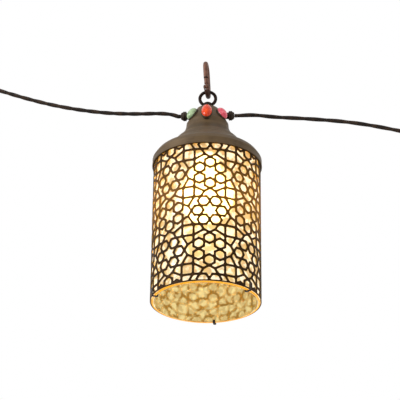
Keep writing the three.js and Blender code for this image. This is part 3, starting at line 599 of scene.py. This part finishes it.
bronze = Finish("spun_bronze", Metallic=0.25, Specular_IOR_Level=0.3)
reach, z = bronze.about_axis()
ring_place = bronze.add("CombineXYZ", [reach, z, 0.0])
rings = bronze.noise(0.0011, 2, 0.6, ring_place)
broad_rings = bronze.noise(0.006, 2, 0.5, ring_place)
cloud = bronze.noise(0.018, 5, 0.6)
grain = bronze.noise(0.0007, 3)
coat = cloud.between(0.3, 0.7).blend("#483721", "#5c4930")
coat = (rings.between(0.45, 0.8) * 0.4).blend(coat, "#7d6543")
coat = (broad_rings.between(0.5, 0.3) * 0.45).blend(coat, "#352917")
coat = (grain.between(0.66, 0.82) * 0.4).blend(coat, "#2c251b")
bronze.surface(Base_Color=coat, Roughness=0.46 + cloud * 0.16,
               Normal=(rings * 0.7 + grain * 0.3).bump(0.00012))
piece("spun_cap", cap, bronze, "cap", crease=28)


# The boss: a domed stud on the crown with a cross hole for the ring, held by a nut inside the cap.
# Stud and ring are dark painted steel, browner and duller where they rub.
def baked(made, *tools):
    """The mesh that an object's modifiers or curve settings make. It and its tools are used up."""
    bpy.context.view_layer.update()
    bm = bmesh.new()
    bm.from_mesh(made.evaluated_get(bpy.context.evaluated_depsgraph_get()).to_mesh())
    bpy.data.batch_remove([part for item in (made, *tools) for part in (item, item.data)])
    return bm


def drilled(bm, *tools):
    """The mesh with the tools' solids cut out of it."""
    work, *bits = [object_of("solid", solid) for solid in (bm, *tools)]
    for bit in bits:
        hole = work.modifiers.new("hole", "BOOLEAN")
        hole.object = bit
        hole.solver = "EXACT"
    return baked(work, *bits)


def arc(radius, centre, angles, up=None):
    """Points at those angles, in degrees, on a circle or ellipse about a height on the axis."""
    return [(radius * cos(radians(a)), centre + (up or radius) * sin(radians(a))) for a in angles]


ring_radius, ring_wire, ring_height = 9.05, 3.7, 253.05
eye_height = ring_height - ring_radius
boss_radius, boss_foot, boss_centre = 6.8, crown_top + 0.3, 241.5
stud_radius, stud_foot, flange = 2.5, boss_foot - 9, boss_radius + 0.5
boss = turned([(0, stud_foot), (stud_radius, stud_foot), (stud_radius, boss_foot), (flange, boss_foot),
               (flange, boss_foot + 0.7), (boss_radius, boss_foot + 1.2),
               *arc(boss_radius, boss_centre, range(0, 90, 6)),
               (0, boss_centre + boss_radius)], 64)
eye_play, eye_end = 0.35, 8.2
flare = [(ring_wire / 2 + (ring_radius - sqrt(ring_radius ** 2 - x_out ** 2)) + eye_play, x_out)
         for x_out in (0, 3.5, 5.5, 7.6)]
tunnel = turned([(0, -eye_end), *[(r, -x_out) for r, x_out in reversed(flare)], *flare[1:], (0, eye_end)], 40)
boss = drilled(boss, posed(tunnel, (0, 0, eye_height), pi / 2))
stud_iron = worn_metal("stud_iron", "#150803", "#35180a", 0.002, 0.0, 0.45, 0.15)
piece("domed_boss", boss, stud_iron, "ring_boss", crease=30)


# Six glass stones in dark bezels stand round the crown: orange in front and at the back, pink and
# green between them. The stones are cabochons, domed and polished, with clouds and flecks.
stone_turns = [0, 53, 127, 180, 233, 307]
stone_width = 11.4
stone_kinds = {"orange": (22, 5.7, "#c83000", "#ea4c08", "#a42000"),
               "pink": (16, 7.4, "#cc3850", "#f08088", "#a02c40"),
               "green": (16, 7.4, "#7f9a70", "#b2c69c", "#45a583")}
bezel_rise, bezel_wall, stone_top = 1.2, 0.9, 6.9
cup_foot, cup_floor, stone_foot = -2.4, 0.4, 0.7
crown_slope = atan2(neck_radius - crown_radius, crown_top - 0.8 - neck_top)
stone_glass = {}
for colour, (*_, deep, pale, fleck) in stone_kinds.items():
    glass = Finish(f"{colour}_cabochon", Coat_Weight=0.35, Coat_Roughness=0.08, Specular_IOR_Level=0.15)
    veins = glass.noise(0.0035, 4, 0.6)
    flecks = glass.noise(0.0009, 2)
    hue = veins.between(0.35, 0.7).blend(deep, pale)
    hue = (flecks.between(0.62, 0.74) * 0.5).blend(hue, fleck)
    stone_glass[colour] = glass.surface(Base_Color=hue, Roughness=0.12 + veins * 0.1,
                                        Normal=veins.bump(0.00012))
bezel_iron = worn_metal("bezel_iron", "#2e2414", "#4f4028", 0.0012, 0.1, 0.4, 0.25)
for i, colour in enumerate([*stone_kinds] * 2, 1):
    length, rise, *_ = stone_kinds[colour]
    half = length / 2
    on_crown = to_lantern @ (Matrix.Rotation(radians(stone_turns[i - 1]), 4, "Z")
                             @ Matrix.Translation((0, rise * tan(crown_slope) - neck_radius, neck_top + rise))
                             @ Matrix.Rotation(pi / 2 - crown_slope, 4, "X")
                             @ Matrix.Diagonal((stone_width / length, 1, 1, 1)))
    girdle = bezel_rise + 0.4
    crest = arc(half + 0.5, girdle, range(0, 90, 6), stone_top - girdle)
    stone = turned([(0, stone_foot), (half * 0.96, stone_foot), (half * 0.985, bezel_rise), *crest,
                    (0, stone_top)], 48)
    wall_out = half + bezel_wall
    cup = turned([(0, cup_foot), (wall_out, cup_foot), (wall_out, bezel_rise - 0.4),
                  (half + bezel_wall * 0.6, bezel_rise), (half + 0.05, bezel_rise + 0.2),
                  (half - 0.25, bezel_rise + 0.1), (half + 0.1, cup_floor), (0, cup_floor)], 48)
    piece(f"cabochon_{i}", stone, stone_glass[colour], f"stone_{i}", place=on_crown)
    piece(f"bezel_{i}", cup, bezel_iron, f"stone_cup_{i}", place=on_crown)


# Two rubber glands pass the lead's cores through the crown's sides. Each is a moulded neck with a
# ribbed collar, and grips the lead at its outer end.
gland_height, gland_reach = 230.3, 30.4
gland_neck, gland_radius = 3.8, 5.6
crown_side = neck_radius - (gland_height - neck_top) * tan(crown_slope)
collar = [(0, 6), (0, 5.2), (0.4, 4.9), (0.4, 4.3), (0, 4), (0, 3.2), (0.9, 2.2), (1.6, 0.6)]
gland_section = [(0, crown_side - 2.5), (gland_neck, crown_side - 2.5), (gland_neck, gland_reach - 6.6),
                 *[(gland_radius - dip, gland_reach - back) for dip, back in collar], (3, gland_reach),
                 (0, gland_reach)]
gland_rubber = clouded("gland_rubber", "#241a10", "#40342a", (0.004, 4), (0.35, 0.75), (0.6, 0.2),
                       (0.0006, 3), Specular_IOR_Level=0.2)
sides = {"left": -1, "right": 1}
for where, side in sides.items():
    gland = posed(eased(turned(gland_section, 48), 0.3), (0, 0, gland_height), side * pi / 2)
    piece(f"moulded_gland_{where}", gland, gland_rubber, f"cable_gland_{where}")


# Two wires run on from the glands, down through the nipple to the contact block. Each is a single core
# in dark silicone.
nipple_top, block_top = 220.4, 205.1
feed_radius = 1.3


def tubes(lines, radius, sides=12, closed=False):
    """Round rods along lines of points, as one mesh."""
    path = bpy.data.curves.new("path", "CURVE")
    path.dimensions = "3D"
    path.bevel_depth = radius
    path.bevel_resolution = sides // 4 - 1
    path.use_fill_caps = not closed
    for line in lines:
        spline = path.splines.new("POLY")
        spline.points.add(len(line) - 1)
        for point, place in zip(spline.points, line):
            point.co = (*place, 1)
        spline.use_cyclic_u = closed
    rod = bpy.data.objects.new("rod", path)
    scene.collection.objects.link(rod)
    return closed_up(baked(rod))


feed_jacket = clouded("feed_jacket", "#3a1f16", "#5a3a2c", (0.003, 3), (0.4, 0.8), (0.45, 0.2),
                      depth=0.00003, Coat_Weight=0.2, Coat_Roughness=0.3)
for where, side in sides.items():
    route = [(gland_reach - 1, gland_height), (crown_side - 4, gland_height),
             (crown_side - 7, gland_height - 0.6), (5.5, gland_height - 5), (1.7, nipple_top + 3),
             (1.7, nipple_top), (1.7, block_top + 0.3)]
    line = curve_through([(side * x_out, 0, z_up) for x_out, z_up in route], 0.8)
    core = eased(tubes([line], feed_radius, 16), 0.2, 60)
    piece(f"feed_core_{where}", core, feed_jacket, f"feed_wire_{where}")


# Fasteners in the neck: a zinc plate against its ledge, on two slotted screws, and the threaded brass
# nipple with its nut. A zinc nut under the crown holds the boss.
plate_low, plate_high, plate_radius = 211.7, 213.2, 21.6
screw_place, screw_radius, screw_head, screw_tip = 19.6, 1, 1.7, 216.5
nipple_radius, nipple_bore, bore_play = 5, 3.5, 0.3
drill_foot, drill_top = 200, 230


def rod_section(radius, z0, z1):
    return [(0, z0), (radius, z0), (radius, z1), (0, z1)]


def rod_at(radius, z0, z1, y_out=0, steps=32):
    """An upright round rod or drill."""
    return posed(turned(rod_section(radius, z0, z1), steps), (0, y_out, 0))


def block(size, place):
    """A plain block about a place."""
    bm = bmesh.new()
    bmesh.ops.create_cube(bm, size=1)
    bmesh.ops.scale(bm, verts=bm.verts, vec=size)
    return posed(bm, place)


def nut(bore, corner, z0, z1):
    """A hexagon nut with eased corners and a round bore."""
    return drilled(eased(rod_at(corner, z0, z1, steps=6), 0.35), rod_at(bore, z0 - 1, z1 + 1))


def thread(radius, depth, pitch, z0, z1):
    """The outline of a threaded stretch, with the thread as rings."""
    count = round((z1 - z0) / pitch) * 8
    return [(radius - depth * (0.5 + 0.5 * cos(k * pi / 4)), z0 + (z1 - z0) * k / count)
            for k in range(count + 1)]


zinc = worn_metal("zinc_plate", "#b9b9b2", "#85847c", 0.004, 1.0, 0.25)
plain_brass = worn_metal("plain_brass", "#c9a352", "#8a6b34", 0.003, 1.0, 0.25)
plate = eased(rod_at(plate_radius, plate_low, plate_high), 0.3)
holes = [rod_at(nipple_radius + 0.5, drill_foot, drill_top)]
holes += [rod_at(screw_radius + bore_play, drill_foot, drill_top, k * screw_place) for k in (-1, 1)]
piece("neck_plate", drilled(plate, *holes), zinc, "holder_plate")
head = plate_low - 0.3
for where, side in (("front", -1), ("back", 1)):
    screw = turned([(0, head - 1.2), (screw_head - 0.5, head - 1.2), (screw_head, head - 0.6),
                    (screw_head, head), (screw_radius, head),
                    *thread(screw_radius, 0.15, 0.7, head + 0.2, screw_tip - 0.7), (0, screw_tip)], 32)
    screw = posed(drilled(screw, block((4, 0.5, 1), (0, 0, head - 1.1))), (0, side * screw_place, 0))
    piece(f"slotted_screw_{where}", screw, zinc, f"plate_screw_{where}")
piece("crown_nut", nut(stud_radius + bore_play, 4.9, 232, 235.5), zinc, "boss_nut")
nipple_foot = block_top + 0.3
nipple = turned([(nipple_bore, nipple_foot), *thread(nipple_radius, 0.35, 1, nipple_foot, nipple_top),
                 (nipple_bore, nipple_top)], 48)
piece("threaded_nipple", nipple, plain_brass, "holder_nipple")
lock_nut = nut(nipple_radius + bore_play, 8.5, 213.5, 216.5)
piece("nipple_lock_nut", lock_nut, plain_brass, "nipple_nut")


# The lamp holder: a brown moulded shell with grip rings, and in it a porcelain block, a thread-rolled
# brass shell and a sprung brass contact.
holder_radius, holder_wall, holder_foot, holder_top = 17.6, 2, 173.4, 211.4
holder_bore, holder_roof = nipple_radius + bore_play, 205.4
grip_rings = [(holder_radius - dip, foot + up) for foot in range(183, 203, 4)
              for dip, up in ((0, 0), (0.7, 0.5), (0.7, 1.5), (0, 2))]
shell = turned([(holder_bore, holder_roof), (holder_radius - holder_wall, holder_roof),
                (holder_radius - holder_wall, holder_foot), (holder_radius, holder_foot),
                (holder_radius, holder_foot + 5), (holder_radius - 0.5, holder_foot + 5.6),
                (holder_radius - 0.5, 182), *grip_rings, (holder_radius, holder_top - 4),
                (holder_radius - 4, holder_top), (holder_bore, holder_top)], 72)
bakelite = clouded("moulded_bakelite", "#2b211b", "#453229", (0.004, 4), (0.35, 0.7), (0.35, 0.2),
                   depth=0.00004, Coat_Weight=0.3, Coat_Roughness=0.2)
piece("ringed_shell", eased(shell, 0.3), bakelite, "holder_shell")
porcelain = Finish("glazed_porcelain", Coat_Weight=0.8, Coat_Roughness=0.05)
glaze = porcelain.noise(0.006, 3)
porcelain.surface(Base_Color=glaze.blend("#efe9db", "#ddd5c2"), Roughness=0.25 + glaze * 0.15,
                  Normal=glaze.bump())
contact_floor = turned([(0, 201.4), (5.6, 201.4), (6, 202), (12.4, 202), (12.8, 201.4), (15.3, 201.4),
                        (15.3, 204.7), (14.9, block_top), (0, block_top)], 64)
piece("porcelain_block", eased(contact_floor, 0.2), porcelain, "contact_block")
rolled = thread(14.9, 0.5, 3.6, 176, 200)
screw_shell = turned([(14.9, 175.4), *rolled, (14.9, 201.1), (14.3, 201.1),
                      *[(r - 0.5, z_up) for r, z_up in reversed(rolled)], (14.3, 175.4)], 72)
piece("rolled_screw_shell", screw_shell, plain_brass, "holder_screw_shell")
contact = turned([(0, 199.5), (1, 199.55), (2, 199.9), (3.4, 200.8), (3.4, 201.1), (0, 201.1)], 32)
piece("sprung_contact", contact, plain_brass, "centre_contact")


# The lamp: a clear globe on a rolled brass base, with a glass stem that carries a ring of coiled
# filament. It is lit, so the filament and its glare in the glass glow warm white.
light_height, bulb_radius, bulb_neck = 126.2, 29.5, 12.2
lamp_foot, lamp_top = 175.2, 199.2
base_metal = Finish("lamp_base_metal", Metallic=1.0)
reach, z = base_metal.about_axis()
solder = reach.between(0.0034, 0.0028)
insulator = ((1 - solder) * reach.between(0.0098, 0.0094)
             * z.between(lantern_foot + 0.194, lantern_foot + 0.195))
tarnish = base_metal.noise(0.003, 4)
brass_tone = tarnish.between(0.4, 0.8).blend("#d0ab5b", "#8f7038")
base_tone = insulator.blend(solder.blend(brass_tone, "#b5b5ae"), "#141414")
base_metal.surface(Base_Color=base_tone, Metallic=1 - insulator, Roughness=0.25 + tarnish * 0.25,
                   Normal=tarnish.bump(0.00003))
base = turned([(0, lamp_top), (2.2, lamp_top - 0.1), (3.1, lamp_top - 0.8), (3.2, lamp_top - 1.4),
               (9.6, lamp_top - 3.2), (11.8, lamp_top - 3.6), *reversed(thread(13.3, 0.7, 3.6, 177.2, 195.2)),
               (13, 176.6), (13.3, 176), (13.3, lamp_foot), (12.5, lamp_foot), (12.5, 192.6), (0, 192.6)], 72)
piece("rolled_lamp_base", base, base_metal, "lamp_base", "lamp")


def together(*meshes):
    """Several meshes as one piece, which touch or sink into each other."""
    whole = bmesh.new()
    for bm in meshes:
        passing = bpy.data.meshes.new("passing")
        bm.to_mesh(passing)
        bm.free()
        whole.from_mesh(passing)
        bpy.data.meshes.remove(passing)
    return whole


globe_neck = [(27.6, 138.4), (22.4, 148.6), (16.4, 159.4), (13, 168), (bulb_neck, 176)]
globe = arc(bulb_radius, light_height, range(-90, 15, 5))
globe += curve_through(globe_neck, 2) + [(bulb_neck, 191.7)]
globe_wall, globe_pole = 0.8, 12
hollow_side = [(max(r - globe_wall, 0), z_up + (globe_wall if r < globe_pole and z_up < light_height else 0))
               for r, z_up in reversed(globe)]
bulb_glass = Finish("bulb_glass", Roughness=0.04, Specular_IOR_Level=0.8, Emission_Color="#ffe8bd",
                    Emission_Strength=9.0)
cloud = bulb_glass.noise(0.02, 2)
bulb_glass.surface(Base_Color=cloud.blend("#fff6e2", "#fff0d2"))
clear = bulb_glass.add("BsdfTransparent", {"Color": (1, 1, 1, 1)})
bright = Value(bulb_glass, bulb_glass.shader.outputs[0])
facing = bulb_glass.add("Fresnel", {"IOR": 1.45})
bulb_glass.covered_by(bulb_glass.mixed(0.32 + cloud * 0.06 + facing * 0.4, clear, bright))
piece("blown_globe", turned(globe + hollow_side, 72), bulb_glass, "lamp_glass", "lamp")
filament_radius, coil_radius = 9, 0.5
coil_points, points_a_turn = 720, 12
stem = turned([(0, light_height - 2), (1.2, light_height - 1.8), (1.6, light_height), (1.9, 150),
               (3.2, lamp_foot), (5, 181), (10.6, 189.2), (10.6, 192.2), (0, 192.2)], 40)
arm = filament_radius - 1.1
arms = tubes([[(0, 0, light_height), (arm * cos(a), arm * sin(a), light_height)]
              for a in (0, 2 * pi / 3, 4 * pi / 3)], 0.4, 12)
stem_glass = Finish("stem_glass", Coat_Weight=0.5, Emission_Strength=0.8)
seeds = stem_glass.noise(0.003, 3)
stem_glass.surface(Base_Color=seeds.blend("#f4e6c8", "#e4cda0"), Roughness=0.1 + seeds * 0.1,
                   Emission_Color=seeds.blend("#ffdca0", "#ffc878"))
piece("pressed_stem", together(stem, arms), stem_glass, "lamp_stem", "lamp")
coil = []
for k in range(coil_points):
    around, wind = 2 * pi * k / coil_points, 2 * pi * k / points_a_turn
    out = filament_radius + coil_radius * cos(wind)
    coil.append((out * cos(around), out * sin(around), light_height + coil_radius * sin(wind)))
tungsten = Finish("lit_tungsten", Emission_Strength=120)
heat = tungsten.noise(0.004, 2)
tungsten.surface(Base_Color=heat.blend("#ffe2b0", "#ffd090"), Roughness=0.4 + heat * 0.1,
                 Emission_Color=heat.blend("#fff0cf", "#ffe0a8"))
filament = tubes([coil], 0.25, 8, closed=True)
piece("coiled_filament", filament, tungsten, "lamp_filament", "lamp")


# The lead: two insulated cores twisted together, strung tightly between this lantern and the next. It
# ends in an in-line plug on the left and a socket on the right, which lie outside the photograph.
lead_width, core_radius = 4.8, 2.0
twist = {"left": 32, "right": 50}
lead_routes = {
    "left": [(-37, 1.3), (-42, 2.8), (-48, 3.7), (-55, 4.2), (-63, 4.3), (-75, 4.2), (-95, 4.6), (-115, 6),
             (-138, 9.1), (-161, 13.4), (-184, 19), (-208, 26.2), (-230, 33.7), (-246, 39.4), (-254, 42.3)],
    "right": [(41, 0.3), (50, 0.5), (60, -0.3), (71, -1.8), (82, -3), (105, -4.7), (128, -6.8), (150, -9.2),
              (173, -12.8), (195, -17.4), (217, -22.7), (228, -25.4)],
}
connector_radius, connector_length, relief = 8, 34, 10
pin_radius, pin_length, pin_seat, pin_spacing = 1.2, 7, 6, 6.4


def twisted(line, offset, pitch):
    """Two lines that wind round one."""
    strands = ([], [])
    run = 0
    for before, here, after in zip([line[0], *line], line, [*line[1:], line[-1]]):
        run += (here - before).length
        along = (after - before).normalized()
        level = Vector((0, 1, 0))
        rise = along.cross(level)
        for k, strand in enumerate(strands):
            turn = 2 * pi * run / pitch + k * pi
            strand.append(here + (level * cos(turn) + rise * sin(turn)) * offset)
    return strands


jacket = clouded("lead_jacket", "#120a05", "#3c2a1b", (0.005, 4), (0.35, 0.8), (0.45, 0.25), (0.0007, 2),
                 0.00006, Specular_IOR_Level=0.2)
moulding = clouded("connector_moulding", "#1c1917", "#37312c", (0.006, 4), (0.35, 0.75), (0.55, 0.2),
                   (0.0006, 3), Coat_Weight=0.1)
pin_brass = worn_metal("pin_brass", "#d9b35c", "#8c6a33", 0.002, 1.0, 0.22)
relief_radius, grip_radius = lead_width / 2 + 1, connector_radius - 0.5
ribs = []
for k in range(4):
    rib = 1.5 + k * 2.1
    radius = relief_radius + (connector_radius - lead_width / 2 - 2.6) * rib / relief
    ribs += [(radius + 0.4, rib), (radius + 0.4, rib + 1), (radius - 0.3, rib + 1.2), (radius - 0.3, rib + 2)]
connector_section = [(0, 0), (relief_radius, 0), *ribs, (connector_radius, relief + 1.2),
                     (connector_radius, 20), (grip_radius, 20.6), (grip_radius, 23), (connector_radius, 23.6),
                     (connector_radius, connector_length), (0, connector_length)]
for where, side in sides.items():
    kind = "plug" if where == "left" else "socket"
    straight = [(side * (gland_reach + 0.3), 0), (side * (gland_reach + 3.3), 0)]
    route = curve_through([(x, 0, gland_height + climb) for x, climb in straight + lead_routes[where]], 1.5)
    strands = twisted(route, lead_width / 2 - core_radius, twist[where])
    lead = piece(f"twisted_lead_{where}", tubes(strands, core_radius, 16), jacket,
                 f"lead_{where}")
    face = next(m for m in frame["record"]["mounts"] if m["name"] == f"{kind}_face")
    out = Vector(face["axis"]).normalized()
    seated = (Matrix.Translation(Vector(face["pos_m"]) - out * connector_length * MM)
              @ out.to_track_quat("Z", "X").to_matrix().to_4x4() @ Matrix.Scale(MM, 4))
    hole_foot = connector_length - (pin_seat if kind == "plug" else pin_length + 1)
    holes = [rod_at(pin_radius + bore_play, hole_foot, connector_length + 2, k * pin_spacing / 2, 24)
             for k in (-1, 1)]
    body = drilled(eased(turned(connector_section, 48), 0.35), *holes)
    parts = [piece(f"inline_{kind}", body, moulding, f"{kind}_{where}", place=seated)]
    for i, k in ((1, -1), (2, 1)) if kind == "plug" else ():
        pin = rod_at(pin_radius, connector_length - pin_seat + 0.3, connector_length + pin_length,
                     k * pin_spacing / 2, 24)
        parts.append(piece(f"contact_pin_{i}", eased(pin, 0.35), pin_brass, f"plug_pin_{i}",
                           place=seated))
    path = [to_lantern @ p for p in route]
    sum((b - a).length for a, b in zip(path, path[1:]))


# The ring hangs the lantern from the snap hook. It is bent from round wire, with a butt joint at its
# foot that the boss hides.
wire = [(x_out, 0, z_up) for x_out, z_up in arc(ring_radius, ring_height, range(0, 360, 4))]
ring = tubes([wire], ring_wire / 2, 24, closed=True)
piece("wire_ring", ring, stud_iron, "hanging_ring", "ring")


# The snap hook: a bent wire body, with two ears that hold the gate's rivet. The gate closes the gap
# under the hook's nose and springs inwards. The brown coat is worn pinkish. Painted shade darkens it in a
# band at the gap under the nose, and from the hinge down to the foot of the bow, under the ring.
hook_wire, half_width = 5.4, 9.25
hook_low = -hook_wire / 2
hook_length = 46.8
hook_lean, hook_turn = radians(3.2), radians(-5)
low_sweep = 145
low_bow = half_width
high_bow = hook_low + hook_length - hook_wire / 2 - half_width
nose_end, hinge_height = hook_low + 20.8, hook_low + 9.2
hook_seat = ring_height + ring_radius - ring_wire / 2 - 0.3 + hook_low
hook_place = (to_lantern @ Matrix.Translation((0, 0, hook_seat))
              @ Matrix.Rotation(-hook_lean, 4, "Y") @ Matrix.Rotation(hook_turn, 4, "Z"))
over = arc(half_width, high_bow, range(180, -1, -6))
under = arc(half_width, low_bow, range(0, -low_sweep - 1, -5))
nose = [(-half_width, nose_end), (-half_width, (nose_end + high_bow) / 2)]
bent = [(0, y_out, z_up) for y_out, z_up in nose + over + under]
hook_body = eased(tubes([bent], hook_wire / 2, 24), 0.5, 60, 3)
blade_half, knuckle_radius = 1.1, 2.1
ear_sheet, ear_radius, ear_root = 1.4, 2.6, 2.4
rivet_radius, rivet_head, head_rise = 1, 1.8, 0.4
ear_inside = blade_half + 0.3


def ear(side):
    """A flat ear, from the end of the lower bow to round the rivet."""
    bm = bmesh.new()
    for radius, middle in ((ear_radius, (-half_width, hinge_height)), (ear_root, under[-1])):
        for x_out in (side * ear_inside, side * (ear_inside + ear_sheet)):
            loop = bmesh.ops.create_circle(bm, segments=40, radius=radius)["verts"]
            bmesh.ops.rotate(bm, verts=loop, matrix=Matrix.Rotation(pi / 2, 3, "Y"))
            bmesh.ops.translate(bm, verts=loop, vec=(x_out, *middle))
    spare = bmesh.ops.convex_hull(bm, input=bm.verts)["geom_interior"]
    bmesh.ops.delete(bm, geom=spare, context="VERTS")
    bmesh.ops.dissolve_limit(bm, angle_limit=radians(1), verts=bm.verts, edges=bm.edges)
    return eased(bm, 0.3, 60, 3)


def across_hinge(profile):
    """A piece turned about the gate's pivot; the profile's heights run across the hook."""
    return posed(turned(profile, 32), (0, -half_width, hinge_height), pi / 2)


def rivet_hole():
    """What the rivet's hole takes out of the ears and the gate."""
    return across_hinge(rod_section(rivet_radius + bore_play, -6, 6))


hook_brown = Finish("hook_coat", Metallic=0.2, Specular_IOR_Level=0.3)
wear = hook_brown.noise(0.004, 4)
specks = hook_brown.noise(0.0009, 3)
coat = wear.between(0.35, 0.7).blend("#5c3a2c", "#76503f")
coat = (specks.between(0.6, 0.78) * 0.5).blend(coat, "#96684e")
z = hook_brown.place()[2]
gap_height, pivot_height, bow_height = ((hook_place @ Vector((0, -half_width, up))).z
                                        for up in (nose_end, hinge_height, hook_low))
# Painted shade: a dark band at the gap between the hook's nose and the gate.
coat = (z.away_from(gap_height).between(0.0012, 0.0006) * 0.9).blend(coat, "#1c0c06")
# Painted shade: darker from the hinge down to the foot of the bow, where it passes under the ring.
coat = (z.between(pivot_height, bow_height + 0.003) * 0.75).blend(coat, "#241009")
hook_brown.surface(Base_Color=coat, Roughness=0.4 + wear * 0.2, Normal=specks.bump(0.00007))
hook = together(hook_body, *(drilled(ear(side), rivet_hole()) for side in (-1, 1)))
piece("bent_hook", hook, hook_brown, "snap_hook_body", "hook", hook_place, 45)
gate_rod, gate_foot, gate_tip = 4.6, hinge_height + ear_radius + 1.4, nose_end - 0.5
blade_top = gate_foot + 1
rod = rod_at(gate_rod / 2, gate_foot, gate_tip, -half_width)
blade = block((2 * blade_half, 3.6, blade_top - hinge_height),
              (0, -half_width, (blade_top + hinge_height) / 2))
knuckle = across_hinge(rod_section(knuckle_radius, -blade_half, blade_half))
hinge_end = [drilled(eased(bm, 0.2), rivet_hole()) for bm in (blade, knuckle)]
gate = together(eased(rod, 0.4), *hinge_end)
piece("sprung_gate", gate, hook_brown, "hook_gate", "gate", hook_place, 45)
rivet_half = ear_inside + ear_sheet + 0.3
rivet_steel = worn_metal("rivet_steel", "#5a4638", "#3c2c22", 0.001, 0.7, 0.4)
rivet_end = [(r, rivet_half + up) for r, up in ((0, head_rise), (1.1, head_rise), (1.6, head_rise / 2),
                                                (rivet_head, 0), (rivet_radius, -0.2))]
rivet = across_hinge([(r, -x_out) for r, x_out in rivet_end] + rivet_end[::-1])
piece("round_rivet", rivet, rivet_steel, "gate_rivet", "hook", hook_place)
